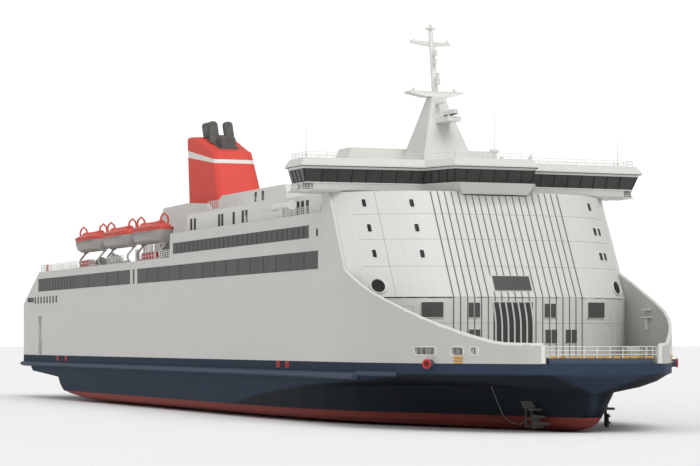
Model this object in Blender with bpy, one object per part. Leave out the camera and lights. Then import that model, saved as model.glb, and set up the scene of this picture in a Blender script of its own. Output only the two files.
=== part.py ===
"""Passenger and vehicle ferry, a 1:10 scale model built as separate sub-parts.

Every size below is the real ship's, in metres: X runs forward from the transom, Y to port and Z up
from the keel. place() turns those into the model's own metres, with the origin midships on the keel.
"""

import math

import bmesh
import bpy
from mathutils import Matrix, Vector

# Scale and reference point
SCALE = 0.1
BOW_X = 159.5
MIDSHIPS = BOW_X / 2
GAP = 0.003

# Hull
HALF_BEAM = 15.0
RED_LINE = 1.38
BAND_BOTTOM = 5.3
DECK_Z = 6.24
STERN_BODY_X = 24.3
STERN_KNEE_X = 22.4
STERN_KNEE_Z = 2.0

# White upper hull
AFT_DECK_Z = 18.3
UPPER_DECK_Z = 21.1
BRIDGE_FLOOR_Z = 22.9
KNEE_Z = 12.5
STEP_X = 75.4
FRONT_BLOCK_X = 127.8
PLATE = 0.3
WINDOW_DEPTH = 0.3

# Car deck and stern ramp
CAR_DECK_END_X = 118.0
CAR_DECK_HALF = 7.5
CAR_DECK_LOW = 6.8
CAR_DECK_HIGH = 12.0

# Bridge
BRIDGE_HALF = 18.6
BRIDGE_AFT_X = 127.0
GLASS_LOW_Z = 23.8
GLASS_HIGH_Z = 25.1
ROOF_EDGE_Z = 25.45
ROOF_TOP_Z = 26.15

# Mast and radar
MAST_DECK_Z = 33.6
MAST_DECK_HALF = 3.0
YARD_HALF = 2.2
SCANNER_X = 125.2
SCANNER_LENGTH = 3.0

# Deckhouses
CASING_HALF = 6.0
CASING_DECK_Z = 24.9
CASING_Z = 26.3
DECKHOUSE_HALF = 13.0
DECKHOUSE_Z = 23.4
ROOF_Z = 26.6

# Lifeboats and davits
BOAT_CENTRES = (36.5, 50.7, 64.9)
BOAT_LENGTH = 11.6
BOAT_HALF = 1.7
BOAT_Y = 14.0
BOAT_KEEL_Z = 20.4
GUNWALE_Z = 22.0
BOAT_TOP_Z = 22.75
HOOP_R = 0.13
DAVIT_PIVOT_Y = 14.45
DAVIT_TUBE_R = 0.14
DAVIT_REACH = 4.9

# Underwater gear
SHAFT_Y = 5.0
SHAFT_Z = 1.6
SHAFT_TUBE_R = 0.3
PROPELLER_X = 9.4
PROPELLER_R = 1.35
BLADES = 4
RUDDER_X = 6.7
ANCHOR_X = 151.2

# Deck gear
WINDLASS_X = 152.0
WINDLASS_Y = 6.7

WHITE = (0.80, 0.79, 0.76, 1)
SHADE_WHITE = (0.70, 0.69, 0.67, 1)
NAVY = (0.045, 0.065, 0.11, 1)
RED = (0.16, 0.02, 0.018, 1)
FUNNEL_RED = (0.75, 0.10, 0.08, 1)
DARK_GLASS = (0.06, 0.06, 0.06, 1)
DARK_GREY = (0.08, 0.08, 0.08, 1)
GREY = (0.32, 0.32, 0.31, 1)
ORANGE_RED = (0.72, 0.10, 0.06, 1)
BRONZE = (0.55, 0.38, 0.16, 1)


def clear_scene():
    for old in list(bpy.data.objects):
        bpy.data.objects.remove(old, do_unlink=True)


def material(name, colour, roughness=0.5, metallic=0.0):
    made = bpy.data.materials.new(name)
    made.use_nodes = True
    shader = made.node_tree.nodes["Principled BSDF"]
    shader.inputs["Base Color"].default_value = colour
    shader.inputs["Roughness"].default_value = roughness
    shader.inputs["Metallic"].default_value = metallic
    return made


def place(point):
    """A point of the real ship, in the model's own metres."""
    return Vector(((point[0] - MIDSHIPS) * SCALE, point[1] * SCALE, point[2] * SCALE))


def curve_through(pairs):
    """A smooth function through (x, y) pairs that never overshoots them: a monotone cubic."""
    xs = [p[0] for p in pairs]
    ys = [p[1] for p in pairs]
    slopes = [(ys[i + 1] - ys[i]) / (xs[i + 1] - xs[i]) for i in range(len(xs) - 1)]
    tangents = [slopes[0]]
    for before, after in zip(slopes, slopes[1:]):
        flat = before * after <= 0
        tangents.append(0.0 if flat else 2 * before * after / (before + after))
    tangents.append(slopes[-1])

    def value(x):
        if x <= xs[0]:
            return ys[0]
        if x >= xs[-1]:
            return ys[-1]
        i = max(k for k in range(len(xs) - 1) if xs[k] <= x)
        h = xs[i + 1] - xs[i]
        t = (x - xs[i]) / h
        rise = ys[i] * (1 + 2 * t) * (1 - t) ** 2 + ys[i + 1] * t * t * (3 - 2 * t)
        return rise + h * (tangents[i] * t * (1 - t) ** 2 - tangents[i + 1] * t * t * (1 - t))

    return value


def line_through(pairs):
    """A function of straight runs through (x, y) pairs."""

    def value(x):
        if x <= pairs[0][0]:
            return pairs[0][1]
        for (x0, y0), (x1, y1) in zip(pairs, pairs[1:]):
            if x <= x1:
                return y0 + (y1 - y0) * (x - x0) / (x1 - x0)
        return pairs[-1][1]

    return value


# Half-breadths along the ship: at the deck edge, and at the waterline where the hull is fined in
deck_half = curve_through(
    ((0, 15), (136, 15), (140, 14.7), (146, 13.6), (150, 12), (154, 9.6), (156, 8.3), (159.1, 5.9),
     (BOW_X, 3.6))
)
water_half = curve_through(
    ((0, 15), (97.5, 15), (110, 14.8), (121, 14), (131, 11.9), (142.5, 6.7), (151, 3.8),
     (154.6, 2.3), (156.6, 1.2), (157.6, 0.5))
)
knuckle_half = curve_through(
    ((0, 15), (97.5, 15), (110, 14.9), (121, 14.2), (131, 12.2), (142.5, 7.5), (151, 5.0),
     (154.6, 3.5), (156.6, 2.4), (157.6, 1.5), (158.4, 2.1), (BOW_X, 3.2))
)
knuckle_z = curve_through(
    ((97.5, RED_LINE + 0.1), (119, 3.15), (131.3, 3.86), (142.5, 4.12), (151, 4.07), (156.4, 3.6),
     (157.6, 3.75), (158.4, 4.4), (BOW_X, 5.15))
)
underside_z = line_through(
    ((0, 4.6), (4.6, 4.6), (5.7, 3.94), (21, 3.24), (21.6, 2.9), (STERN_KNEE_X, STERN_KNEE_Z),
     (STERN_BODY_X, RED_LINE), (156.9, RED_LINE), (157.4, 2.3), (157.6, 3.4), (158.4, 4.2), (BOW_X, 5.0))
)
keel_z = curve_through(
    ((STERN_BODY_X, RED_LINE - 0.1), (25.6, 0.8), (28, 0.35), (33, 0.06), (38, 0), (152.8, 0),
     (154.6, 0.22), (155.6, 0.42), (156.6, 0.72), (157.3, 1.15))
)
bulwark_top = curve_through(
    ((133.9, 15.1), (136.5, 14.1), (140, 12.86), (146, 11.03), (150, 9.68), (154, 8.42), (156, 8.0),
     (159.1, 7.92))
)


def front_wall_x(y, z):
    """The raked, bowed front wall: how far forward it is at this breadth and height."""
    bow = (abs(y) / (HALF_BEAM - PLATE)) ** 3.4
    knee = 141.8 - 6.3 * bow
    top = 136.1 - 6.5 * bow
    share = max(0.0, (z - KNEE_Z) / (BRIDGE_FLOOR_Z - KNEE_Z))
    return knee + (top - knee) * share


def new_object(name, bm, mat, smooth_degrees=None):
    """Moves a bmesh of the real ship's metres into the model and makes it an object."""
    for vert in bm.verts:
        vert.co = place(vert.co)
    bmesh.ops.recalc_face_normals(bm, faces=bm.faces)
    mesh = bpy.data.meshes.new(name)
    bm.to_mesh(mesh)
    bm.free()
    if smooth_degrees:
        mesh.shade_smooth()
        mesh.set_sharp_from_angle(angle=math.radians(smooth_degrees))
    made = bpy.data.objects.new(name, mesh)
    made.data.materials.append(mat)
    bpy.context.scene.collection.objects.link(made)
    return made


def move_origin(obj, point):
    """Puts an object's origin on its joint's axis and leaves its shape where it is."""
    pivot = place(point)
    obj.data.transform(Matrix.Translation(-pivot))
    obj.location = pivot


def helper(obj):
    obj.hide_render = True
    obj.display_type = "WIRE"
    return obj


def boolean(obj, other, operation):
    modifier = obj.modifiers.new(operation.title(), "BOOLEAN")
    modifier.operation = operation
    modifier.solver = "EXACT"
    modifier.object = helper(other)


def cut(obj, *others):
    for other in others:
        boolean(obj, other, "DIFFERENCE")


def join(obj, *others):
    for other in others:
        boolean(obj, other, "UNION")


def loft(rings, strip_end=False):
    """A closed bmesh through rings of points, all of one length, with flat ends. A strip end is made
    of strips between the two halves of a ring that both_sides made, for an end that bends."""
    bm = bmesh.new()
    loops = [[bm.verts.new(p) for p in ring] for ring in rings]
    count = len(rings[0])
    for one, two in zip(loops, loops[1:]):
        for i in range(count):
            j = (i + 1) % count
            bm.faces.new((one[i], one[j], two[j], two[i]))
    bm.faces.new(list(reversed(loops[0])))
    if not strip_end:
        bm.faces.new(loops[-1])
        return bm
    end = loops[-1]
    for i in range(count // 2 - 1):
        bm.faces.new((end[i], end[i + 1], end[count - 2 - i], end[count - 1 - i]))
    return bm


def prism_xz(outline, y_low, y_high):
    return loft([[(x, y, z) for x, z in outline] for y in (y_low, y_high)])


def prism_xy(outline, z_low, z_high):
    return loft([[(x, y, z) for x, y in outline] for z in (z_low, z_high)])


def rounded_rectangle(x_low, x_high, z_low, z_high, radius, steps=4):
    """The outline of a rectangle with round corners."""
    outline = []
    for x, z, start in ((x_high - radius, z_high - radius, 0), (x_low + radius, z_high - radius, 90),
                        (x_low + radius, z_low + radius, 180), (x_high - radius, z_low + radius, 270)):
        for step in range(steps + 1):
            angle = math.radians(start + 90 * step / steps)
            outline.append((x + radius * math.cos(angle), z + radius * math.sin(angle)))
    return outline


def block(low, high):
    x0, y0, z0 = low
    x1, y1, z1 = high
    return prism_xy(((x0, y0), (x1, y0), (x1, y1), (x0, y1)), z0, z1)


def bevelled(bm, width, segments=1, sharp_degrees=30):
    """Bevels the edges where faces meet at more than this angle."""
    bmesh.ops.recalc_face_normals(bm, faces=bm.faces)
    limit = math.radians(sharp_degrees)
    edges = [e for e in bm.edges if e.is_manifold and e.calc_face_angle(0) > limit]
    bmesh.ops.bevel(bm, geom=edges, offset=width, segments=segments, profile=0.5, affect="EDGES",
                    clamp_overlap=True)
    return bm


def tube(start, end, radius, sides=12, end_radius=None):
    """A round bar or cone between two points."""
    a, b = Vector(start), Vector(end)
    way = b - a
    turn = way.to_track_quat("Z", "Y").to_matrix().to_4x4()
    bm = bmesh.new()
    bmesh.ops.create_cone(
        bm, cap_ends=True, segments=sides, radius1=radius,
        radius2=radius if end_radius is None else end_radius, depth=way.length,
        matrix=Matrix.Translation((a + b) / 2) @ turn,
    )
    return bm


def both_sides(half):
    """A ring that goes round by port from a half-section, given from the keel up to the deck."""
    return half + [(x, -y, z) for x, y, z in reversed(half)]


def stations(*parts):
    """Positions along the ship: each part is (start, end, count)."""
    places = []
    for start, end, count in parts:
        places += [start + (end - start) * i / count for i in range(count)]
    return places + [parts[-1][1]]


# Where the hull's sections stand. The belting and the bow plates share them, so that they lie snug
HULL_STATIONS = stations(
    (0, 4.6, 1), (4.6, 5.7, 1), (5.7, 21, 2), (21, STERN_BODY_X, 3), (STERN_BODY_X, 97.5, 2),
    (97.5, 136, 7), (136, 156, 13), (156, 156.9, 1), (156.9, 157.6, 3), (157.6, 159.1, 3),
    (159.1, BOW_X, 1))
BELTING_END_X = 144.6
BELTING_JOINT_X = 137.0

# The flare between the knuckle and the blue band bulges: shares of its height and of its breadth
FLARE = ((0.28, 0.48), (0.6, 0.80))


# The bottom's section as shares of its breadth and height, full amidships and fine at the bow
BOTTOM_SECTION = (
    ((0.60, 0.0), (0.17, 0.0)), ((0.905, 0.25), (0.44, 0.145)),
    ((0.975, 0.55), (0.75, 0.435)), ((1.0, 1.0), (1.0, 1.0)))
SHARP_FROM_X = 144.0


# Hull bottom: the red body below the paint line, with a slight rise of floor and a round bilge
def hull_bottom(mat):
    rings = []
    for x in stations((STERN_BODY_X, 26, 2), (26, 38, 4), (38, 97, 2), (97, 143, 7), (143, 155, 5),
                      (155, 157.3, 4)):
        side = water_half(x)
        keel = keel_z(x)
        rise = RED_LINE - GAP - keel
        sharp = min(max((x - SHARP_FROM_X) / 7, 0.0), 1.0)
        half = []
        for full, fine in BOTTOM_SECTION:
            share, up = (one + (two - one) * sharp for one, two in zip(full, fine))
            half.append((x, side * share, keel + rise * up))
        rings.append(both_sides(half))
    return new_object("hull_bottom", loft(rings), mat, 35)


# Hull topsides: the blue body up to the main deck, with its stern overhang and its flared bow
def hull_topsides(mat):
    rings = []
    for x in HULL_STATIONS:
        low = underside_z(x)
        knuckle = min(max(knuckle_z(x), low + 0.1), BAND_BOTTOM - 0.06) if x > 97.5 else low + 0.1
        edge = deck_half(x)
        inner = knuckle_half(x)
        half = [(x, water_half(x), low), (x, inner, knuckle)]
        for up, out in FLARE:
            half.append((x, inner + (edge - inner) * out, knuckle + (BAND_BOTTOM - knuckle) * up))
        rings.append(both_sides(half + [(x, edge, BAND_BOTTOM), (x, edge, DECK_Z)]))
    return new_object("hull_topsides", loft(rings), mat, 25)


def window_strip(spans, posts, side, low, high, grow):
    """The glass of one side's window strip: panes in front and one strip behind their posts."""
    outer = side * (HALF_BEAM - 0.02 + grow * 10)
    middle = side * (HALF_BEAM - WINDOW_DEPTH * 0.55)
    inner = side * (HALF_BEAM - WINDOW_DEPTH - grow)
    back = block((spans[0] - grow, min(middle, inner), low - grow),
                 (spans[1] + grow, max(middle, inner), high + grow))
    edges = [spans[0]] + [x for post in posts for x in post] + [spans[1]]
    panes = []
    for start, end in zip(edges[::2], edges[1::2]):
        panes.append(block((start - grow, min(outer, middle - side * 0.05), low - grow),
                           (end + grow, max(outer, middle - side * 0.05), high + grow)))
    return back, panes


LOWER_STRIP = {"spans": (9.1, 126.8), "posts": ((58.3, 59.3), (60.3, 61.4)), "low": 15.43, "high": 17.33}
UPPER_STRIP = {"spans": (76.8, 124.1), "posts": (), "low": 18.6, "high": 19.96}


def window_strip_pieces(name, strip, side, mat, shell):
    """Makes the glass of one strip, and cuts its recess into the shell that holds it."""
    suffix = "starboard" if side < 0 else "port"
    back, panes = window_strip(side=side, grow=0.0, **strip)
    glass = new_object(f"{name}_{suffix}", back, mat)
    join(glass, *[new_object(f"pane_{name}_{suffix}_{i}", p, mat) for i, p in enumerate(panes)])
    back, panes = window_strip(side=side, grow=GAP, **strip)
    cut(shell, new_object(f"recess_{name}_{suffix}", back, mat))
    cut(shell, *[new_object(f"opening_{name}_{suffix}_{i}", p, mat) for i, p in enumerate(panes)])
    return glass


# White side shell: the main hull above the blue, with the car deck through it and a sloped stern
def side_shell(white, glass):
    outline = ((0, DECK_Z + GAP), (FRONT_BLOCK_X - GAP, DECK_Z + GAP), (FRONT_BLOCK_X - GAP, AFT_DECK_Z),
               (9.8, AFT_DECK_Z), (0, 13.8))
    shell = new_object("side_shell", prism_xz(outline, -HALF_BEAM, HALF_BEAM), white)
    car_deck = block((-1, -CAR_DECK_HALF, CAR_DECK_LOW), (CAR_DECK_END_X, CAR_DECK_HALF, CAR_DECK_HIGH))
    cut(shell, new_object("car_deck_space", car_deck, white))
    for side in (-1, 1):
        low_y, high_y = sorted((side * (HALF_BEAM - 0.5), side * (HALF_BEAM + 0.5)))
        recess = block((9.1, low_y, DECK_Z + 0.1), (11.6, high_y, 11.9))
        cut(shell, new_object(f"side_door_recess_{side}", recess, white))
        window_strip_pieces("lower_windows", LOWER_STRIP, side, glass, shell)
    return shell


def upper_accommodation(white, glass):
    outline = ((STEP_X, AFT_DECK_Z + GAP), (FRONT_BLOCK_X - GAP, AFT_DECK_Z + GAP),
               (FRONT_BLOCK_X - GAP, UPPER_DECK_Z), (STEP_X + 0.3, UPPER_DECK_Z))
    shell = new_object("upper_accommodation", prism_xz(outline, -HALF_BEAM, HALF_BEAM), white)
    for side in (-1, 1):
        window_strip_pieces("upper_windows", UPPER_STRIP, side, glass, shell)
    return shell


# Front block: the raked front wall with its knee
def front_block(white):
    half = HALF_BEAM - PLATE - GAP
    count = 32
    rings = []
    for z in (DECK_Z + GAP, KNEE_Z, BRIDGE_FLOOR_Z):
        ring = [(FRONT_BLOCK_X, half, z), (FRONT_BLOCK_X, -half, z)]
        for i in range(count + 1):
            y = -half + 2 * half * i / count
            ring.append((front_wall_x(y, z), y, z))
        rings.append(ring)
    return new_object("front_block", loft(rings), white, 25)


# Openings in the bow plates: a mooring slot, a boarding recess and a round port, as (aft, forward,
# low, high, corner radius)
BOW_OPENINGS = (
    (147.26, 149.78, 7.01, 7.75, 0.12), (151.25, 152.48, 6.95, 7.75, 0.3), (153.01, 153.85, 7.03, 7.75, 0.33))


# Bow plates: the side plating beside the front wall, which sweeps down into the bow bulwark
def bow_plate(side, mat):
    corner_top = front_wall_x(HALF_BEAM - PLATE, BRIDGE_FLOOR_Z)
    top = line_through(((FRONT_BLOCK_X, BRIDGE_FLOOR_Z), (corner_top, BRIDGE_FLOOR_Z), (133.9, 15.1)))
    xs = [FRONT_BLOCK_X, corner_top, 133.9] + [x for x in HULL_STATIONS if 136 <= x <= 159.1]
    rings = []
    for x in xs:
        high = top(x) if x <= 133.9 else bulwark_top(x)
        outer = deck_half(x)
        lean = (deck_half(x - 0.2) - deck_half(min(x + 0.2, 159.1))) / 0.4
        inner = outer - PLATE * math.hypot(1, lean)
        rings.append([(x, side * outer, DECK_Z + GAP), (x, side * outer, high),
                      (x, side * inner, high), (x, side * inner, DECK_Z + GAP)])
    name = "bow_plate_starboard" if side < 0 else "bow_plate_port"
    plate = new_object(name, loft(rings), mat, 30)
    for number, (start, end, low, high, radius) in enumerate(BOW_OPENINGS):
        out = side * (deck_half(start) + 1.0)
        inside = side * (deck_half(end) - 1.5)
        outline = rounded_rectangle(start, end, low, high, radius)
        cutter = prism_xz(outline, min(out, inside), max(out, inside))
        cut(plate, new_object(f"{name}_opening_{number}", cutter, mat))
    return plate


# Bow platform: the raised blue edge of the foredeck between the bulwarks
def bow_platform(mat):
    stem = BOW_X - 0.05
    outline = ((155.2, -5.0), (159.05, -5.2), (stem, -3.2), (stem, 3.2), (159.05, 5.2), (155.2, 5.0))
    return new_object("bow_platform", prism_xy(outline, DECK_Z + GAP, 6.73), mat)


# Belting: the rubbing strake along each side, with its separate forward length
def belting(side, mat):
    rings = []
    joint = (BELTING_JOINT_X, BELTING_JOINT_X + 0.5)
    for x in sorted({x for x in HULL_STATIONS if x < BELTING_END_X} | {*joint, BELTING_END_X}):
        inner = deck_half(x) + GAP
        forward = x > BELTING_JOINT_X
        low = 5.0 if forward else 4.6
        high = 5.45 if forward else 5.3
        outer = inner + (0.42 if forward else 0.5)
        rings.append([(x, side * inner, low), (x, side * outer, low + 0.2),
                      (x, side * outer, high - 0.15), (x, side * inner, high)])
    name = "belting_starboard" if side < 0 else "belting_port"
    return new_object(name, loft(rings), mat)


# Houses on the upper decks
def engine_casing(mat):
    """The casing: a low deck round the funnel between side walls, and a full-height house forward."""
    step = [(68.2 - 1.5 * math.cos(a), CASING_Z - 1.4 + 1.4 * math.sin(a))
            for a in (math.radians(90 * i / 5) for i in range(6))]
    outline = [(40.0, AFT_DECK_Z + GAP), (STEP_X - 0.3, AFT_DECK_Z + GAP), (STEP_X - 0.3, UPPER_DECK_Z + GAP),
               (92.0, UPPER_DECK_Z + GAP), (92.0, 25.4), (91.7, 25.95), (91.0, CASING_Z)]
    outline += step[::-1] + [(41.2, CASING_DECK_Z), (40.0, 24.2)]
    casing = new_object("engine_casing", prism_xz(outline, -CASING_HALF, CASING_HALF), mat)
    wall = ((40.6, 24.5), (63.3, 24.5), (62.9, 25.1), (62.0, 25.65), (54.2, 26.15), (42.9, 26.05))
    for side in (-1, 1):
        low_y, high_y = sorted((side * CASING_HALF, side * (CASING_HALF - PLATE)))
        join(casing, new_object(f"casing_wall_{side}", prism_xz(wall, low_y, high_y), mat))
    return casing


def deckhouse(side, mat):
    """One side's deckhouse between the casing and the walkway."""
    low_y, high_y = sorted((side * (CASING_HALF + GAP), side * DECKHOUSE_HALF))
    bm = block((76.2, low_y, UPPER_DECK_Z + GAP), (FRONT_BLOCK_X - GAP - 5.4, high_y, DECKHOUSE_Z))
    return new_object("deckhouse_starboard" if side < 0 else "deckhouse_port", bm, mat)


def bridge_house(mat):
    """The house behind the bridge, up to the level of its roof."""
    low = ((93.0, UPPER_DECK_Z + GAP), (FRONT_BLOCK_X - GAP, UPPER_DECK_Z + GAP),
           (FRONT_BLOCK_X - GAP, BRIDGE_FLOOR_Z), (126.9, BRIDGE_FLOOR_Z), (126.9, 24.5),
           (112.0, 24.5), (112.0, DECKHOUSE_Z + 0.4), (93.0, DECKHOUSE_Z + 0.4))
    high = ((110.5, DECKHOUSE_Z + GAP), (126.9, DECKHOUSE_Z + GAP), (126.9, ROOF_Z), (112.0, ROOF_Z))
    house = new_object("bridge_house", prism_xz(low, -CASING_HALF + 0.1, CASING_HALF - 0.1), mat)
    join(house, new_object("bridge_house_top", prism_xz(high, -9.0, 9.0), mat))
    return house


def top_house(mat):
    outline = ((113.5, ROOF_Z + GAP), (118.35, ROOF_Z + GAP), (118.35, 28.4), (115.1, 28.4), (113.5, 27.2))
    return new_object("top_house", prism_xz(outline, -8.4, 8.4), mat)


def bridge_ring(back, inward, z):
    """The bridge in plan: a wing on each side and a middle that stands forward. It is set back from
    its front edge and inward from its ends by these amounts."""
    end = BRIDGE_HALF - inward
    half = [(136.6 - back, 4.5 - back * 0.5), (132.5 - back, 5.95 - back * 0.3),
            (131.75 - back, end), (BRIDGE_AFT_X, end)]
    return [(x, y, z) for x, y in half] + [(x, -y, z) for x, y in reversed(half)]


def bridge_base(mat):
    """The low wall under the glass, with the wings' floor plate standing out at its ends."""
    rings = [bridge_ring(1.5, 1.6, BRIDGE_FLOOR_Z + GAP), bridge_ring(1.05, 1.6, BRIDGE_FLOOR_Z + 0.2),
             bridge_ring(0.9, 1.6, GLASS_LOW_Z)]
    base = new_object("bridge_base", loft(rings), mat)
    floor = block((BRIDGE_AFT_X, -18.3, BRIDGE_FLOOR_Z + 0.05), (130.4, 18.3, BRIDGE_FLOOR_Z + 0.17))
    join(base, new_object("wing_floor", floor, mat))
    return base


def bridge_glass(mat):
    rings = [bridge_ring(0.92, 0.75, GLASS_LOW_Z + GAP), bridge_ring(0.35, 0.35, GLASS_HIGH_Z)]
    return new_object("bridge_glass", loft(rings), mat)


def bridge_roof(mat):
    rings = [bridge_ring(0.25, 0.3, GLASS_HIGH_Z + GAP), bridge_ring(0.2, 0.25, ROOF_EDGE_Z - 0.15),
             bridge_ring(0.0, 0.0, ROOF_EDGE_Z - 0.08), bridge_ring(0.0, 0.0, ROOF_EDGE_Z + 0.06),
             bridge_ring(0.45, 0.45, ROOF_TOP_Z)]
    return new_object("bridge_roof", loft(rings), mat)


# Mast
def mast_base(mat):
    rings = []
    for z, aft, front, half in ((ROOF_Z + GAP, 118.4, 124.9, 2.85), (32.95, 120.3, 122.35, 0.88),
                                (MAST_DECK_Z, 120.6, 122.3, 0.74)):
        rings.append([(aft, -half, z), (front, -half, z), (front, half, z), (aft, half, z)])
    return new_object("mast_base", bevelled(loft(rings), 0.1), mat)


def mast_pole(mat):
    """The lamp platform, the raked pole on it, and a yard that is deepest at the pole."""
    rings = []
    for up, aft, front, half in ((GAP, 120.5, 122.0, 1.3), (0.4, 120.1, 121.7, MAST_DECK_HALF),
                                 (0.6, 120.1, 121.7, MAST_DECK_HALF)):
        z = MAST_DECK_Z + up
        rings.append([(aft, -half, z), (front, -half, z), (front, half, z), (aft, half, z)])
    pole = new_object("mast_pole", loft(rings), mat)
    shaft = tube((121.2, 0, 34.1), (119.95, 0, 40.9), 0.33, 12, 0.22)
    yard = loft([[(119.72, y, low), (120.12, y, low), (120.12, y, high), (119.72, y, high)]
                 for y, low, high in ((-YARD_HALF, 39.36, 39.6), (0, 39.05, 39.56),
                                      (YARD_HALF, 39.2, 39.44))])
    join(pole, new_object("mast_shaft", shaft, mat, 40), new_object("mast_yard", yard, mat))
    return pole


def radar_bracket(mat):
    """The platform that stands forward of the mast and carries the scanner's pedestal."""
    front = line_through(((ROOF_Z, 124.9), (32.95, 122.35)))
    half, end = 0.75, 126.3
    rings = []
    for z in (30.75, 31.2):
        root = front(z) + 1.2 * GAP
        rings.append([(root, -half, z), (end, -half, z), (end, half, z), (root, half, z)])
    bracket = new_object("radar_bracket", loft(rings), mat)
    pedestal = tube((SCANNER_X, 0, 31.1), (SCANNER_X, 0, 31.45), 0.28, 12)
    join(bracket, new_object("radar_pedestal", pedestal, mat))
    return bracket


def radar_scanner(mat):
    start, end = SCANNER_X - SCANNER_LENGTH / 2, SCANNER_X + SCANNER_LENGTH / 2
    bar = bevelled(block((start, -0.22, 31.45 + GAP), (end, 0.22, 31.95)), 0.06)
    scanner = new_object("radar_scanner", bar, mat)
    move_origin(scanner, (SCANNER_X, 0, 31.5))
    return scanner


# Funnel and exhausts
FUNNEL_TOP = line_through(((42.0, 35.7), (46.7, 35.4), (52.9, 33.3), (54.8, 32.9)))
FUNNEL_FOOT = {"aft": 44.95, "front": 58.7, "half": 3.28}
FUNNEL_HEAD = {"aft": 42.0, "front": 54.8, "half": 2.7}
EXHAUST_TOP_Z = 37.15
EXHAUST_RAKE = 0.45


def funnel_ring(share, inset, z_of):
    """One level of the funnel: a rectangle with round corners, foot to head by share."""
    aft, front, half = (FUNNEL_FOOT[key] + (FUNNEL_HEAD[key] - FUNNEL_FOOT[key]) * share
                        for key in ("aft", "front", "half"))
    radius = 1.1 - inset
    front_x, aft_x, corner_y = front - 1.1, aft + 1.1, half - 1.1
    port = [(front_x + radius * math.cos(a), corner_y + radius * math.sin(a))
            for a in (math.radians(90 * i / 4) for i in range(5))]
    for knee in (52.9, 46.7):
        port.append((knee + (front_x - 53.7) * (1 - share), half - inset))
    port += [(aft_x - radius * math.sin(a), corner_y + radius * math.cos(a))
             for a in (math.radians(90 * i / 4) for i in range(5))]
    return both_sides([(x, y, z_of(x)) for x, y in port])


def funnel(mat):
    """The raked casing. Its sloped top is closed by strips from side to side, which keep its bends."""
    foot = CASING_DECK_Z + GAP

    def level(share):
        return lambda x: foot + (FUNNEL_TOP(x) - 0.4 - foot) * share

    rings = [funnel_ring(share, 0.0, level(share)) for share in (0.0, 0.5, 1.0)]
    rings += [funnel_ring(1.0, 0.12, lambda x: FUNNEL_TOP(x) - 0.12), funnel_ring(1.0, 0.42, FUNNEL_TOP)]
    return new_object("funnel", loft(rings, strip_end=True), mat, 35)


def exhaust_pipes(mat):
    """Three raked pipes and a box, on one low base that follows the funnel's sloped top."""
    def on_top(x, up):
        return (x, FUNNEL_TOP(x) + GAP + up)

    xs = (45.8, 46.7, 52.6)
    outline = [on_top(x, 0.0) for x in xs] + [on_top(x, 0.18) for x in reversed(xs)]
    base = new_object("exhaust_pipes", prism_xz(outline, -1.35, 1.35), mat)
    for x, y in ((47.0, -1.05), (49.8, -1.05), (49.8, 1.05)):
        rings = []
        for radius, below in ((0.7, None), (0.7, 0.22), (0.62, 0.07), (0.42, 0.0)):
            ring = []
            for step in range(16):
                angle = 2 * math.pi * step / 16
                foot = x + radius * math.cos(angle)
                low = on_top(foot, 0.12)[1]
                tilt = EXHAUST_RAKE * (foot - x)
                z = low if below is None else EXHAUST_TOP_Z - below + tilt
                ring.append((foot - EXHAUST_RAKE * (z - low), y + radius * math.sin(angle), z))
            rings.append(ring)
        join(base, new_object(f"exhaust_{x}_{y}", loft(rings), mat, 40))
    box = prism_xz([on_top(50.9, 0.05), on_top(52.5, 0.05), (52.3, 34.85), (50.7, 35.4)], -0.95, 1.0)
    join(base, new_object("exhaust_box", box, mat))
    return base


def cowl_ventilator(side, mat):
    """The long horizontal ventilator on its bent neck, on the deckhouse walkway."""
    y = side * 14.0
    name = "cowl_ventilator_starboard" if side < 0 else "cowl_ventilator_port"
    trunk = new_object(name, tube((110.6, y, 22.4), (116.3, y, 22.4), 0.38, 16), mat, 40)
    neck = tube((113.2, y, UPPER_DECK_Z + GAP), (113.2, y, 22.4), 0.33, 14)
    mouth = tube((116.0, y, 22.4), (116.3, y, 22.4), 0.5, 16)
    join(trunk, new_object(f"neck_{name}", neck, mat, 40), new_object(f"mouth_{name}", mouth, mat, 40))
    return trunk


# Lifeboats and their davits
def boat_section(t):
    """Breadth, keel, gunwale and canopy top of a lifeboat at t, from -1 at its stern to 1 at its bow."""
    full = (1 - abs(t) ** 3.6) ** 0.55
    half = BOAT_HALF * max(0.14, full)
    gunwale = GUNWALE_Z + 0.2 * t * t
    keel = BOAT_KEEL_Z + (gunwale - BOAT_KEEL_Z) * 0.9 * (max(abs(t) - 0.9, 0.0) / 0.1) ** 1.6
    top = gunwale + (BOAT_TOP_Z - GUNWALE_Z) * (0.3 + 0.7 * full)
    return half, keel, gunwale, top


def lifeboat(x_mid, side, name, mat):
    """Hull and canopy lofted across the length, with the hoop at each end that its falls hook into."""
    rings = []
    for t in (-1, -0.96, -0.9, -0.75, -0.4, 0, 0.4, 0.75, 0.9, 0.96, 1):
        half, keel, gunwale, top = boat_section(t)
        profile = [(0.35 * half, keel), (0.80 * half, keel + 0.16 * (gunwale - keel)),
                   (0.97 * half, keel + 0.55 * (gunwale - keel)), (half, gunwale),
                   (0.94 * half, gunwale + 0.35 * (top - gunwale)),
                   (0.55 * half, gunwale + 0.85 * (top - gunwale)), (0.18 * half, top)]
        x = x_mid + t * BOAT_LENGTH / 2
        ring = [(x, side * BOAT_Y + y, z) for y, z in profile]
        rings.append(ring + [(x, side * BOAT_Y - y, z) for y, z in reversed(profile)])
    boat = new_object(name, loft(rings), mat, 40)
    for sign in (-1, 1):
        share = 0.88 * sign
        x = x_mid + share * BOAT_LENGTH / 2
        foot = boat_section(share)[3] - 0.25
        join(boat, new_object(f"{name}_hoop_{sign}", hoop(x, side * BOAT_Y, foot), mat, 60))
    return boat


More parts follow.
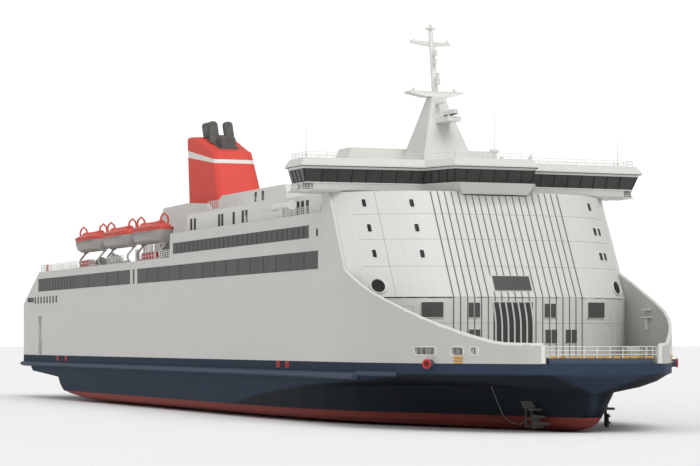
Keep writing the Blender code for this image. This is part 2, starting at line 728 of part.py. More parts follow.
def bent_bar(x, path, radius, sides):
    """A bar swept along (y, z) points that all stand at one place along the ship."""
    rings = []
    for i, (y, z) in enumerate(path):
        before, after = path[max(i - 1, 0)], path[min(i + 1, len(path) - 1)]
        way = Vector((after[0] - before[0], after[1] - before[1])).normalized()
        ring = []
        for step in range(sides):
            angle = 2 * math.pi * (step + 0.5) / sides
            out = radius * math.sin(angle)
            ring.append((x + radius * math.cos(angle), y - way.y * out, z + way.x * out))
        rings.append(ring)
    return loft(rings)


def hoop(x, y, z, half=0.5, height=1.45):
    """A pointed upright hoop across the ship."""
    shape = ((-0.75, 0.0), (-1.0, 0.4), (-0.8, 0.72), (0.0, 1.0), (0.8, 0.72), (1.0, 0.4), (0.75, 0.0))
    return bent_bar(x, [(y + across * half, z + up * height) for across, up in shape], HOOP_R, 6)


def davit(x_mid, side, name, mat):
    """A pivot tube along the deck edge, and an arm at each end that bends in under the boat's keel."""
    pivot_y = side * DAVIT_PIVOT_Y
    pivot_z = AFT_DECK_Z + GAP + DAVIT_TUBE_R
    reach = DAVIT_REACH
    ends = [(x_mid + sign * (reach + 0.4), pivot_y, pivot_z) for sign in (-1, 1)]
    made = new_object(name, tube(*ends, DAVIT_TUBE_R, 12), mat, 40)
    pad_top = BOAT_KEEL_Z - GAP
    for sign in (-1, 1):
        x = x_mid + sign * reach
        pad_y = BOAT_Y - 0.25
        path = [(pivot_y, pivot_z), (side * (DAVIT_PIVOT_Y + 0.17), 18.95),
                (side * (DAVIT_PIVOT_Y + 0.12), 19.3), (side * pad_y, pad_top - 0.11)]
        join(made, new_object(f"{name}_arm_{sign}", bent_bar(x, path, 0.13, 8), mat, 40))
        pad = block((x - 0.18, side * pad_y - 0.3, pad_top - 0.14), (x + 0.2, side * pad_y + 0.3, pad_top))
        join(made, new_object(f"{name}_pad_{sign}", pad, mat))
    return made


# Underwater gear
def shaft_line(side, name, mat):
    """The shaft's tube with the bracket that carries its aft end."""
    y = side * SHAFT_Y
    x_end = PROPELLER_X + 0.5 + GAP
    fall = (STERN_KNEE_Z - RED_LINE) / (STERN_BODY_X - STERN_KNEE_X)
    x_hull = STERN_KNEE_X + (STERN_KNEE_Z - SHAFT_Z - SHAFT_TUBE_R - 2 * GAP) / fall
    made = new_object(name, tube((x_end, y, SHAFT_Z), (x_hull, y, SHAFT_Z), SHAFT_TUBE_R, 14), mat, 40)
    strut_x = (x_end + 0.1, x_end + 1.1)
    top = [underside_z(x) - GAP for x in strut_x]
    outline = ((strut_x[0], SHAFT_Z), (strut_x[1], SHAFT_Z), (strut_x[1], top[1]), (strut_x[0], top[0]))
    join(made, new_object(f"{name}_strut", prism_xz(outline, y - 0.12, y + 0.12), mat))
    return made


def propeller(side, name, mat):
    """A hub and four twisted blades, handed so that both turn outwards."""
    y = side * SHAFT_Y
    hub = tube((PROPELLER_X - 0.7, y, SHAFT_Z), (PROPELLER_X + 0.5, y, SHAFT_Z), 0.28, 14)
    made = new_object(name, hub, mat, 40)
    for blade in range(BLADES):
        angle = math.tau * (blade + 0.5) / BLADES
        rings = []
        for share, chord in ((0.12, 0.35), (0.45, 0.62), (0.8, 0.6), (1.0, 0.25)):
            radius = PROPELLER_R * share
            pitch = math.radians(65 - 35 * share) * side
            ring = []
            for along, thick in ((-0.5, 0.0), (0.0, 0.05), (0.5, 0.0), (0.0, -0.05)):
                dx = along * chord * math.cos(pitch) + thick * math.sin(pitch)
                across = along * chord * math.sin(pitch) - thick * math.cos(pitch)
                cy = radius * math.cos(angle) - across * math.sin(angle)
                cz = radius * math.sin(angle) + across * math.cos(angle)
                ring.append((PROPELLER_X - 0.1 + dx, y + cy, SHAFT_Z + cz))
            rings.append(ring)
        join(made, new_object(f"{name}_blade_{blade}", loft(rings), mat))
    move_origin(made, (PROPELLER_X, y, SHAFT_Z))
    return made


def rudder(side, name, mat):
    """A blade with a thick nose and a thin tail, tapered downwards, under its stock."""
    y = side * SHAFT_Y
    stock_r = 0.18
    foot, head = 0.3, 3.3
    half = ((-0.7, 0.13), (0.2, 0.2), (0.75, 0.15))
    section = ((-1.5, 0.0), *half, (1.0, 0.0), *((dx, -dy) for dx, dy in reversed(half)))
    rings = [[(RUDDER_X + dx * taper, y + dy * taper, z) for dx, dy in section]
             for z, taper in ((foot, 0.82), (head, 1.0))]
    made = new_object(name, loft(rings), mat)
    stock_top = underside_z(RUDDER_X + stock_r) - GAP
    stock = tube((RUDDER_X, y, head - 0.1), (RUDDER_X, y, stock_top), stock_r, 12)
    join(made, new_object(f"{name}_stock", stock, mat, 40))
    move_origin(made, (RUDDER_X, y, head))
    return made


def stern_ramp(mat):
    """The plate that closes the car deck, hinged along its foot."""
    clear = 0.06
    half, top = CAR_DECK_HALF - clear, CAR_DECK_HIGH - clear
    ramp = new_object("stern_ramp", block((0.02, -half, CAR_DECK_LOW + GAP), (0.32, half, top)), mat)
    move_origin(ramp, (0, 0, CAR_DECK_LOW))
    return ramp


def anchor(side, name, mat):
    """The anchor and its frame: a shelf on the flared bow, two hangers, and the anchor below it."""
    def beside(x, out, z):
        """A point this far out from the hull's side, at this height between waterline and knuckle."""
        after = min(place for place in HULL_STATIONS if place > x)
        before = max(place for place in HULL_STATIONS if place <= x)
        along = (x - before) / (after - before)
        low, high, rise = (curve(before) + (curve(after) - curve(before)) * along
                           for curve in (water_half, knuckle_half, knuckle_z))
        return (x, side * (low + (high - low) * max(z - RED_LINE, 0.0) / (rise - RED_LINE) + out), z)

    # The hull's twisted facets are split unlike on the two sides, so the gap to them differs
    clear = 0.028 if side > 0 else 0.014
    top, foot = 2.8, 2.1
    rings = [[beside(x + 0.45, clear, foot), beside(x + 0.45, 0.3, foot), beside(x + 0.4, 0.3, foot + 0.1),
              beside(x, clear, top)] for x in (ANCHOR_X, ANCHOR_X + 1.4)]
    made = new_object(name, loft(rings), mat)
    pieces = []
    for x, low in ((ANCHOR_X + 0.6, 0.45), (ANCHOR_X + 1.25, 1.0)):
        start = beside(x, 0.2, foot + 0.03)
        pieces.append(tube(start, start[:2] + (low,), 0.1, 8))
    for z, near, far in ((0.52, 0.55, 2.6), (1.13, 0.55, 2.2)):
        start, end = beside(ANCHOR_X + near, 0.2, foot), beside(ANCHOR_X + far, 0.3, foot)
        pieces.append(tube(start[:2] + (z,), end[:2] + (z,), 0.1, 8))
    shank = beside(ANCHOR_X + 1.7, 0.28, foot)
    pieces.append(tube(shank[:2] + (1.6,), shank[:2] + (0.3,), 0.17, 10))
    for z, near, far in ((1.4, 1.5, 2.9), (0.8, 1.5, 3.4)):
        start, end = beside(ANCHOR_X + near, 0.3, foot), beside(ANCHOR_X + far, 0.4, foot)
        pieces.append(tube(start[:2] + (z,), end[:2] + (z,), 0.2, 8, 0.12))
    join(made, *[new_object(f"{name}_piece_{number}", bm, mat, 40) for number, bm in enumerate(pieces)])
    return made


def windlass(side, name, mat):
    """A mooring winch on the foredeck."""
    x, y, z = WINDLASS_X, side * WINDLASS_Y, DECK_Z + 1.0
    drum = new_object(name, tube((x, y - 0.7, z), (x, y + 0.7, z), 0.5, 14), mat, 40)
    bed = block((x - 0.7, y - 0.85, DECK_Z + GAP), (x + 0.7, y + 0.85, z - 0.25))
    join(drum, new_object(f"{name}_bed", bed, mat))
    return drum


def deck_tank(side, name, mat):
    """The upright ventilation drum beside the casing on the aft deck."""
    y = side * 10.5
    return new_object(name, tube((62.5, y, AFT_DECK_Z + GAP), (62.5, y, 20.9), 1.1, 20), mat, 40)


def main():
    clear_scene()
    white = material("white_paint", WHITE, 0.45)
    shade = material("shaded_white_paint", SHADE_WHITE, 0.5)
    navy = material("navy_paint", NAVY, 0.4)
    red = material("antifouling_red", RED, 0.7)
    glass = material("dark_glass", DARK_GLASS, 0.15)
    funnel_red = material("funnel_red", FUNNEL_RED, 0.4)
    dark = material("exhaust_black", DARK_GREY, 0.6)
    grey = material("grey_paint", GREY, 0.5)
    boat = material("lifeboat_red", ORANGE_RED, 0.5)
    bronze = material("bronze", BRONZE, 0.3, 1.0)

    hull_bottom(red)
    hull_topsides(navy)
    side_shell(white, glass)
    upper_accommodation(white, glass)
    front_block(white)
    bow_platform(navy)
    engine_casing(shade)
    bridge_house(shade)
    top_house(shade)
    bridge_base(white)
    bridge_glass(glass)
    bridge_roof(white)
    mast_base(white)
    mast_pole(white)
    radar_bracket(white)
    radar_scanner(white)
    funnel(funnel_red)
    exhaust_pipes(dark)
    stern_ramp(white)
    for side, word in ((-1, "starboard"), (1, "port")):
        bow_plate(side, white)
        belting(side, navy)
        deckhouse(side, shade)
        cowl_ventilator(side, shade)
        shaft_line(side, f"shaft_{word}", grey)
        propeller(side, f"propeller_{word}", bronze)
        rudder(side, f"rudder_{word}", red)
        anchor(side, f"anchor_{word}", grey)
        windlass(side, f"windlass_{word}", grey)
        deck_tank(side, f"deck_drum_{word}", shade)
        for number, x_mid in enumerate(BOAT_CENTRES, 1):
            pivot = (x_mid, side * DAVIT_PIVOT_Y, AFT_DECK_Z + GAP + DAVIT_TUBE_R)
            move_origin(lifeboat(x_mid, side, f"lifeboat_{word}_{number}", boat), pivot)
            move_origin(davit(x_mid, side, f"davit_{word}_{number}", grey), pivot)


main()
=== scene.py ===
import math
import bmesh
import bpy
from mathutils import Matrix, Vector


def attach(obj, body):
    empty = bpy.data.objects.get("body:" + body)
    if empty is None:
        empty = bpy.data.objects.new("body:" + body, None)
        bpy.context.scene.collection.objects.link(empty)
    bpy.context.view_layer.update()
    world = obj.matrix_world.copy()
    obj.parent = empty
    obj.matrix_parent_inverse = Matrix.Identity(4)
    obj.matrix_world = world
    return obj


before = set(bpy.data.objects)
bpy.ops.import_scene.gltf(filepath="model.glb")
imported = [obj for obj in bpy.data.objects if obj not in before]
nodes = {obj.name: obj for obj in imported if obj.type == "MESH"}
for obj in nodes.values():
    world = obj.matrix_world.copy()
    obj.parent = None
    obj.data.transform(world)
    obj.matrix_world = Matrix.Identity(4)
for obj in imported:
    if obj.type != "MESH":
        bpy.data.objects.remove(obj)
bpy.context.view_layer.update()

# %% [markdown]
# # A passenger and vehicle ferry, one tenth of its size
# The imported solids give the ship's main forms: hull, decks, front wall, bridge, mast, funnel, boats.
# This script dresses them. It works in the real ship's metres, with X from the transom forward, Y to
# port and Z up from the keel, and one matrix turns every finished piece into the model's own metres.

SCALE = 0.1
MIDSHIPS = 79.75
TO_MODEL = Matrix.Translation((-MIDSHIPS * SCALE, 0, 0)) @ Matrix.Scale(SCALE, 4)
UPRIGHT = Matrix.Rotation(math.pi / 2, 4, "X")
SIDES = ((-1, "starboard"), (1, "port"))


def model_x(x):
    """A real place along the ship, in the model's metres from midships."""
    return (x - MIDSHIPS) * SCALE


# %% [markdown]
# ## Lines of the ship
# A ship is drawn as curves, and pieces that lie on her sides need the same curves as the solids have:
# the deck's edge in plan, the top of the bow bulwark, and the raked front wall with its knee. A
# monotone cubic runs through a few measured points and never overshoots them.


# %% The ship's lines
def curve_through(pairs):
    """A smooth function through (x, y) pairs that never overshoots them."""
    xs, ys = zip(*pairs)
    slopes = [(y1 - y0) / (x1 - x0) for (x0, y0), (x1, y1) in zip(pairs, pairs[1:])]
    tangents = [slopes[0]]
    for one, two in zip(slopes, slopes[1:]):
        tangents.append(0.0 if one * two <= 0 else 2 * one * two / (one + two))
    tangents.append(slopes[-1])

    def value(x):
        x = min(max(x, xs[0]), xs[-1])
        i = max(k for k in range(len(xs) - 1) if xs[k] <= x)
        h = xs[i + 1] - xs[i]
        t = (x - xs[i]) / h
        rise = ys[i] * (1 + 2 * t) * (1 - t) ** 2 + ys[i + 1] * t * t * (3 - 2 * t)
        return rise + h * (tangents[i] * t * (1 - t) ** 2 - tangents[i + 1] * t * t * (1 - t))

    return value


BEAM = 15.0
DECK_Z, AFT_DECK_Z, UPPER_DECK_Z = 6.24, 18.3, 21.1
KNEE_Z, BRIDGE_FLOOR_Z, ROOF_Z = 12.5, 22.9, 26.15
deck_half = curve_through(((0, 15), (136, 15), (140, 14.7), (146, 13.6), (150, 12), (154, 9.6),
                           (156, 8.3), (159.1, 5.9), (159.5, 3.6)))
bulwark_top = curve_through(((133.9, 15.1), (136.5, 14.1), (140, 12.86), (146, 11.03), (150, 9.68),
                             (154, 8.42), (156, 8.0), (159.1, 7.92)))


def front_wall_x(y, z):
    """How far forward the raked and bowed front wall is at this breadth and height."""
    bow = (abs(y) / 14.7) ** 3.4
    knee, top = 141.8 - 6.3 * bow, 136.1 - 6.5 * bow
    return knee + (top - knee) * max(0.0, (z - KNEE_Z) / (BRIDGE_FLOOR_Z - KNEE_Z))


print("front wall at the knee and the top:", front_wall_x(0, KNEE_Z), front_wall_x(0, BRIDGE_FLOOR_Z))

# %% [markdown]
# ## Small tools
# Nearly every fitting on a ship is a plate, a bar, a tube or a window in a frame. Each tool adds one
# such shape to a bmesh with Blender's own operators, so a whole family of fittings becomes one piece.


# %% Frames that stand on a surface
def frame_on(point, along, up=(0, 0, 1)):
    """A frame on a surface: its X runs along it, its Y up it and its Z out of it."""
    x = Vector(along).normalized()
    z = x.cross(Vector(up)).normalized()
    turn = Matrix((x, z.cross(x), z)).transposed()
    return Matrix.Translation(point) @ turn.to_4x4()


def on_side(side, x, z, y=BEAM):
    """The ship's flat side: side is -1 to starboard and 1 to port."""
    return frame_on((x, side * y, z), (-side, 0, 0))


def on_front(y, z):
    """The front wall: X runs level and Y climbs the rake, so a window's sides lean as the wall does."""
    step = 0.01
    here = front_wall_x(y, z)
    bend = (front_wall_x(y + step, z) - front_wall_x(y - step, z)) / (2 * step)
    along = Vector((bend, 1, 0)).normalized()
    up = Vector(((front_wall_x(y, z + step) - here) / step, 0, 1)).normalized()
    turn = Matrix((along, up, along.cross(up).normalized())).transposed()
    return Matrix.Translation((here, y, z)) @ turn.to_4x4()


def along_wall(places, out=0.005):
    """Points on the front wall at each (y, z), a little out of it."""
    return [(front_wall_x(y, z) + out, y, z) for y, z in places]


def ring_on(place, radius, count, other=None, height=0.0):
    """Points of a circle on a frame, or of an oval if another radius is given."""
    angles = [i * math.tau / count for i in range(count)]
    across = radius if other is None else other
    return [place @ Vector((radius * math.cos(a), across * math.sin(a), height)) for a in angles]


# %% Blocks, rods and swept tubes
def add_block(bm, corner, other, rounding=0.0):
    """A box between two opposite corners, with rounded edges if wanted."""
    size = Vector([abs(b - a) for a, b in zip(corner, other)])
    place = Matrix.Translation((Vector(corner) + Vector(other)) / 2) @ Matrix.Diagonal((*size, 1))
    made = bmesh.ops.create_cube(bm, size=1.0, matrix=place)
    if rounding:
        edges = list({e for v in made["verts"] for e in v.link_edges})
        bmesh.ops.bevel(bm, geom=edges, offset=rounding, segments=2, profile=0.5, affect="EDGES",
                        material=-1)


def add_box(bm, x, y, z, long, wide, tall, rounding=0.0):
    """A box that stands on the height z, with its middle at x and y."""
    add_block(bm, (x - long / 2, y - wide / 2, z), (x + long / 2, y + wide / 2, z + tall), rounding)


def add_rod(bm, start, end, radius, sides=6, end_radius=None):
    """A round bar, or a cone if its end has another radius."""
    a, b = Vector(start), Vector(end)
    turn = (b - a).to_track_quat("Z", "Y").to_matrix().to_4x4()
    bmesh.ops.create_cone(bm, cap_ends=True, segments=sides, radius1=radius, depth=(b - a).length,
                          radius2=radius if end_radius is None else end_radius,
                          matrix=Matrix.Translation((a + b) / 2) @ turn)


def add_tube(bm, path, radius, sides=8, closed=False):
    """A round or square bar along a path: circles on the path's points, bridged one to the next."""
    points = [Vector(p) for p in path]
    last = len(points) - 1
    loops = []
    for i, point in enumerate(points):
        before = points[i - 1] if i or closed else point
        after = points[(i + 1) % len(points)] if i < last or closed else point
        turn = (after - before).to_track_quat("Z", "Y").to_matrix().to_4x4()
        ring = bmesh.ops.create_circle(bm, cap_ends=False, segments=sides, radius=radius,
                                       matrix=Matrix.Translation(point) @ turn)
        loops.append(list({e for v in ring["verts"] for e in v.link_edges}))
    for one, two in zip(loops, loops[1:] + loops[:1] if closed else loops[1:]):
        bmesh.ops.bridge_loops(bm, edges=one + two)
    if not closed:
        bmesh.ops.edgeloop_fill(bm, edges=loops[0])
        bmesh.ops.edgeloop_fill(bm, edges=loops[-1])


# %% Tiles: plates, doors and windows in their frames
def add_part(bm, part, place):
    """Puts a finished part in its place and joins it to a piece's bmesh."""
    bmesh.ops.transform(part, matrix=place, verts=part.verts)
    mesh = bpy.data.meshes.new("part")
    part.to_mesh(mesh)
    part.free()
    bm.from_mesh(mesh)
    bpy.data.meshes.remove(mesh)


# How deep a plate is rooted in what carries it, in real metres
ROOT = 0.1


def add_tile(bm, place, width, height, thick, corner=0.0, rim=0.0, sunk=0.0):
    """A plate on a surface, with round corners. A rim leaves a frame round a sunk pane, whose face
    takes the piece's second material. The plate reaches ROOT into what carries it."""
    part = bmesh.new()
    size = Matrix.Diagonal((width, height, thick + ROOT, 1))
    bmesh.ops.create_cube(part, size=1.0, matrix=Matrix.Translation((0, 0, (thick - ROOT) / 2)) @ size)
    if corner:
        upright = [e for e in part.edges if abs((e.verts[0].co - e.verts[1].co).z) > 1e-6]
        bmesh.ops.bevel(part, geom=upright, offset=corner, segments=4, profile=0.5, affect="EDGES",
                        material=-1)
    if rim:
        front = max(part.faces, key=lambda face: face.calc_center_median().z)
        bmesh.ops.inset_individual(part, faces=[front], thickness=rim)
        front.material_index = 1
        bmesh.ops.translate(part, verts=front.verts, vec=(0, 0, -sunk))
    add_part(bm, part, place)


# %% Guard rails
def add_railing(bm, path, height=1.05, bars=3, spacing=1.5, radius=0.035):
    """Posts along a path on a deck, with level bars between them."""
    points = [Vector(p) for p in path]
    up = Vector((0, 0, height))
    for start, end in zip(points, points[1:]):
        count = max(1, round((end - start).length / spacing))
        for i in range(count + 1):
            foot = start.lerp(end, i / count)
            add_rod(bm, foot, foot + up, radius, 5)
        for bar in range(bars):
            lift = up * ((bar + 1) / bars)
            add_rod(bm, start + lift, end + lift, radius * 0.9, 5)


# %% A bmesh becomes a piece that rides on a body
SHARP_ANGLE = math.radians(35)


def make_piece(name, bm, materials, body="hull"):
    """Turns a bmesh into a piece in the model's own metres, smooth up to the sharp angle."""
    bmesh.ops.transform(bm, matrix=TO_MODEL, verts=bm.verts)
    bmesh.ops.recalc_face_normals(bm, faces=bm.faces)
    mesh = bpy.data.meshes.new(name)
    bm.to_mesh(mesh)
    bm.free()
    for made in materials:
        mesh.materials.append(made)
    mesh.shade_smooth()
    mesh.set_sharp_from_angle(angle=SHARP_ANGLE)
    piece = bpy.data.objects.new(name, mesh)
    bpy.context.scene.collection.objects.link(piece)
    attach(piece, body)
    print(name, len(mesh.polygons), "faces")


# %% [markdown]
# ## Finishes
# A ship is steel under paint. Real paint on plate isn't one flat colour: each plate weathers a
# little apart from its neighbours, rain draws faint streaks down it, and welds show as soft lines.
# One function makes such a paint from its colour, so every paint on board shares the same habits.


# %% Colours and nodes
def colour(hex_code):
    """An sRGB hex colour turned to linear light."""
    parts = [int(hex_code[i:i + 2], 16) / 255 for i in (1, 3, 5)]
    return (*[p / 12.92 if p <= 0.04045 else ((p + 0.055) / 1.055) ** 2.4 for p in parts], 1.0)


def node(tree, kind, settings=None, inputs=None):
    """Adds one node. Settings are its properties. Inputs are values, sockets to link from, or nodes
    whose first output is linked."""
    made = tree.nodes.new(kind)
    for name, value in (settings or {}).items():
        setattr(made, name, value)
    for key, value in (inputs or {}).items():
        if isinstance(value, bpy.types.Node):
            tree.links.new(value.outputs[0], made.inputs[key])
        elif isinstance(value, bpy.types.NodeSocket):
            tree.links.new(value, made.inputs[key])
        else:
            made.inputs[key].default_value = value
    return made


def new_material(name, roughness, metallic=0.0, specular=0.5):
    """A material with its shader's constant values set, its node tree and the shader."""
    made = bpy.data.materials.new(name)
    made.use_nodes = True
    shader = made.node_tree.nodes["Principled BSDF"]
    shader.inputs["Roughness"].default_value = roughness
    shader.inputs["Metallic"].default_value = metallic
    shader.inputs["Specular IOR Level"].default_value = specular
    return made, made.node_tree, shader


def model_axes(tree):
    """The X, Y and Z of a point of the model, as three sockets."""
    where = node(tree, "ShaderNodeTexCoord").outputs["Object"]
    return node(tree, "ShaderNodeSeparateXYZ", None, {0: where}).outputs


def paint_over(made, share, other):
    """Lays another colour over a material's own, where the share node gives 1 and not where it gives 0."""
    tree = made.node_tree
    base = tree.nodes["Principled BSDF"].inputs["Base Color"]
    mixed = node(tree, "ShaderNodeMix", {"data_type": "RGBA"},
                 {"Factor": share, 6: base.links[0].from_socket, 7: colour(other)})
    tree.links.new(mixed.outputs[2], base)


# %% Marine paint on steel plate
def marine_paint(name, base, shade, roughness=0.42, streaks=0.35, plates=None, grain=220, bump=0.08,
                 specular=0.4):
    """Sprayed enamel or hull paint. Base and shade are its clean and weathered colours, plates the
    length and height of the hull plates in real metres, and grain how many bumps a metre has."""
    made, tree, shader = new_material(name, roughness, specular=specular)
    where = node(tree, "ShaderNodeTexCoord").outputs["Object"]
    clouds = node(tree, "ShaderNodeTexNoise", None, {"Vector": where, "Scale": 2.6, "Detail": 4.0})
    down = node(tree, "ShaderNodeMapping", None, {"Vector": where, "Scale": (26.0, 26.0, 1.3)})
    rain = node(tree, "ShaderNodeTexNoise", None, {"Vector": down, "Scale": 1.0, "Detail": 3.0})
    thin = node(tree, "ShaderNodeMapRange", None, {"Value": rain, 1: 0.45, 2: 0.75, 4: streaks})
    wear = node(tree, "ShaderNodeMath", {"operation": "MULTIPLY_ADD"}, {0: clouds, 1: 0.5, 2: thin})
    tint = node(tree, "ShaderNodeMix", {"data_type": "RGBA"},
                {"Factor": wear, 6: colour(base), 7: colour(shade)})
    tree.links.new(tint.outputs[2], shader.inputs["Base Color"])
    skin = node(tree, "ShaderNodeTexNoise", None, {"Vector": where, "Scale": float(grain), "Detail": 2.0})
    height = skin
    if plates:
        turned = node(tree, "ShaderNodeMapping", None,
                      {"Vector": where, "Rotation": (math.pi / 2, 0.0, 0.0)})
        seams = node(tree, "ShaderNodeTexBrick", None,
                     {"Vector": turned, "Scale": 1.0, "Mortar Size": 0.003,
                      "Mortar Smooth": 1.0, "Brick Width": plates[0] * SCALE,
                      "Row Height": plates[1] * SCALE})
        height = node(tree, "ShaderNodeMath", {"operation": "MULTIPLY_ADD"},
                      {0: seams.outputs["Fac"], 1: -3.0, 2: skin})
    relief = node(tree, "ShaderNodeBump", None, {"Height": height, "Strength": bump, "Distance": 0.002})
    tree.links.new(relief.outputs[0], shader.inputs["Normal"])
    return made


# Length and height of one hull plate, in real metres
PLATES = (8.0, 2.6)
# White marine enamel, sprayed and sanded between coats: soft gloss, with weld lines just showing
white_enamel = marine_paint("white_marine_enamel_on_plate", "#D9D8D4", "#D0CFCA", streaks=0.12, plates=PLATES)
# The front wall's enamel is a touch darker than the other white, and takes a painted shadow under the bridge
front_enamel = marine_paint("white_front_wall_enamel_with_painted_shadow", "#D6D5D2", "#CDCCC8", streaks=0.12, plates=PLATES)
# Fittings are painted by brush in port, so they look the freshest white on board
fitting_white = marine_paint("white_enamel_on_fittings", "#E3E2DE", "#D8D6D1", streaks=0.1)
# The long side shell is a little darker than the front: painted shade for the side, which the forward lamp
# lights less
shell_enamel = marine_paint("white_side_enamel_with_painted_shade", "#D0CFCB", "#C6C5C0", roughness=0.5,
                            streaks=0.15, plates=PLATES, specular=0.3)
# The bow plating flares out over the water and faces a little down, so painted shade darkens it towards the
# stem
bow_enamel = marine_paint("white_enamel_on_bow_plating", "#D0CFCB", "#C6C5C0", roughness=0.5,
                          streaks=0.15, plates=PLATES, specular=0.3)
# The bridge's apron and floor face down, and their darker white is painted shade; the side doors at the stern
# wear it too
apron_enamel = marine_paint("white_enamel_with_painted_shade", "#CDCCC7", "#C3C2BD", roughness=0.5,
                            streaks=0.15)
# Weld beads painted over with the wall: the ridge catches dust, so it reads a shade darker
weld_paint = marine_paint("painted_weld_bead", "#B0AFAA", "#9F9E99", roughness=0.6, streaks=0.0)
# The same enamel on the houses, a little duller from funnel soot
house_enamel = marine_paint("house_enamel_dulled_by_soot", "#E2E1DC", "#D8D6D1", streaks=0.15)
# Navy hull paint: a tough satin coating with faint rain streaks
navy_paint = marine_paint("navy_hull_coating", "#273546", "#222E3C", roughness=0.65, streaks=0.3,
                          plates=PLATES, specular=0.12)
# The band and rubbing strakes are scuffed by quays, so the same navy has gone paler and more matt
band_blue = marine_paint("navy_band_coating", "#465364", "#3F4B5A", roughness=0.6, specular=0.15)
# Antifouling is a soft, matt, chalky paint with slime marks
antifouling = marine_paint("oxide_red_antifouling", "#965048", "#82453E", roughness=0.8, streaks=0.6,
                           grain=420, bump=0.25, specular=0.15)
# Deck paint has sand rolled into it: quite matt, with a fine grit that the bump shows
deck_paint = marine_paint("grey_deck_paint_with_grit", "#A9AAA6", "#94958F", roughness=0.85,
                          streaks=0.0, grain=700, bump=0.5)
# Machinery enamel on winch drums, vents and shafts: mid grey, half gloss
grey_enamel = marine_paint("grey_machinery_enamel", "#8C8D89", "#777872", roughness=0.5)
# Davits are hot-dip galvanised and then painted a pale grey
davit_grey = marine_paint("pale_grey_paint_on_zinc", "#ADACA8", "#9C9B96", roughness=0.5, streaks=0.2)
# The ribs' flanks hold dirt, and their dark grey is mostly painted shade for the flanks' own shadow, so they
# read as dark lines on the wall
rib_grey = marine_paint("grey_ribs_with_painted_shade", "#75726E", "#696662", roughness=0.7, streaks=0.0,
                        specular=0.1)
# Louvre blades, anchor bolsters and the scanner's face: dark enamel with little shine. The same dark grey
# paints the shade behind the wing lattices
dark_grey_enamel_and_painted_shade = marine_paint("dark_grey_enamel_and_painted_shade", "#4A4B4A", "#3A3B3A", roughness=0.55)
# Coated boat cloth, faded by the sun to coral
cover_coral = marine_paint("coated_boat_cover_cloth", "#D9584B", "#C14B40", roughness=0.65, bump=0.3)
# Signal red on safety gear, glossier than the hull so that it stands out
signal_red = marine_paint("signal_red_enamel", "#C8352B", "#A92E27", roughness=0.45)
# Yellow deck lines and treads, worn dull by boots
safety_yellow = marine_paint("safety_yellow_deck_line", "#D9A441", "#B98A3A", roughness=0.6)
# Cast iron under a thin grey coat, rough from the sand mould
anchor_iron = marine_paint("painted_cast_iron", "#4E4B48", "#393633", roughness=0.7, grain=500, bump=0.6)
print("paints:", len(bpy.data.materials))

# %% [markdown]
# ## Glass, rubber, metal and soot
# Ship's windows look nearly black from outside, because the rooms are dim and the panes are tinted.
# Each pane stands a little apart in its frame, so its tone differs slightly from its neighbour's. The
# tone comes from white noise that is read once for each pane's width.


# %% Tinted window glass
def tinted_glass(name, base, other, axis, pane, roughness=0.4):
    """Dark glass whose tone steps from pane to pane along one axis; pane is its real width."""
    made, tree, shader = new_material(name, roughness, specular=0.2)
    where = node(tree, "ShaderNodeTexCoord").outputs["Object"]
    split = node(tree, "ShaderNodeSeparateXYZ", None, {0: where})
    steps = node(tree, "ShaderNodeMath", {"operation": "DIVIDE"},
                 {0: split.outputs[axis], 1: pane * SCALE})
    whole = node(tree, "ShaderNodeMath", {"operation": "FLOOR"}, {0: steps})
    chance = node(tree, "ShaderNodeTexWhiteNoise", {"noise_dimensions": "1D"}, {"W": whole})
    inside = node(tree, "ShaderNodeTexNoise", None, {"Vector": where, "Scale": 6.0, "Detail": 2.0})
    blend = node(tree, "ShaderNodeMath", {"operation": "MULTIPLY_ADD"}, {0: chance, 1: 0.55, 2: inside})
    tint = node(tree, "ShaderNodeMix", {"data_type": "RGBA"},
                {"Factor": blend, 6: colour(base), 7: colour(other)})
    tree.links.new(tint.outputs[2], shader.inputs["Base Color"])
    return made


# Saloon panes have a light sun film behind them, cabin panes a dark room, bridge panes a tint
cabin_glass = tinted_glass("saloon_glass_with_sun_film", "#545453", "#4C4C4B", 0, 1.6)
small_glass = tinted_glass("small_pane_before_dark_room", "#2D2E30", "#242527", 0, 1.6, 0.3)
front_glass = tinted_glass("thick_front_pane", "#585856", "#515150", 1, 2.2, 0.35)
bridge_glass = tinted_glass("tinted_bridge_glass", "#4A4A49", "#424241", 1, 1.5, 0.25)
# Black window gasket, extruded rubber: dull and dark. The same black paints shade: the dark lines under the
# knee and the bridge, and the dark insides of openings
rubber_and_painted_shade = marine_paint("black_rubber_and_painted_shade", "#262626", "#1C1C1C", roughness=0.75, streaks=0.0)
# Heat-proof exhaust paint: matt and rough, with long streaks of soot
exhaust_paint = marine_paint("heatproof_exhaust_paint", "#63625F", "#4A4946", roughness=0.75,
                             streaks=0.7, grain=300, bump=0.3)
# Propeller bronze, cast and then ground: bare metal whose tone varies finely
propeller_bronze, bronze_tree, bronze_shader = new_material("ground_propeller_bronze", 0.3, 1.0)
bronze_where = node(bronze_tree, "ShaderNodeTexCoord").outputs["Object"]
bronze_grain = node(bronze_tree, "ShaderNodeTexNoise", None,
                    {"Vector": bronze_where, "Scale": 90.0, "Detail": 5.0})
bronze_tint = node(bronze_tree, "ShaderNodeMix", {"data_type": "RGBA"},
                   {"Factor": bronze_grain, 6: colour("#C79A55"), 7: colour("#A27A40")})
bronze_tree.links.new(bronze_tint.outputs[2], bronze_shader.inputs["Base Color"])
print("materials:", [m.name for m in bpy.data.materials][-6:])

# %% [markdown]
# ## Tones that change along the hull
# The blue side is lit by the sky, while the flare under it turns towards the water, away from the light,
# and painted shade makes it look almost black. A colour ramp holds the knuckle's height along the ship,
# and the painted shade lies below it, but less on the stem itself, which catches the light again.
# Towards the bow, where the plating faces the lamp, a painted light turns the navy lighter.


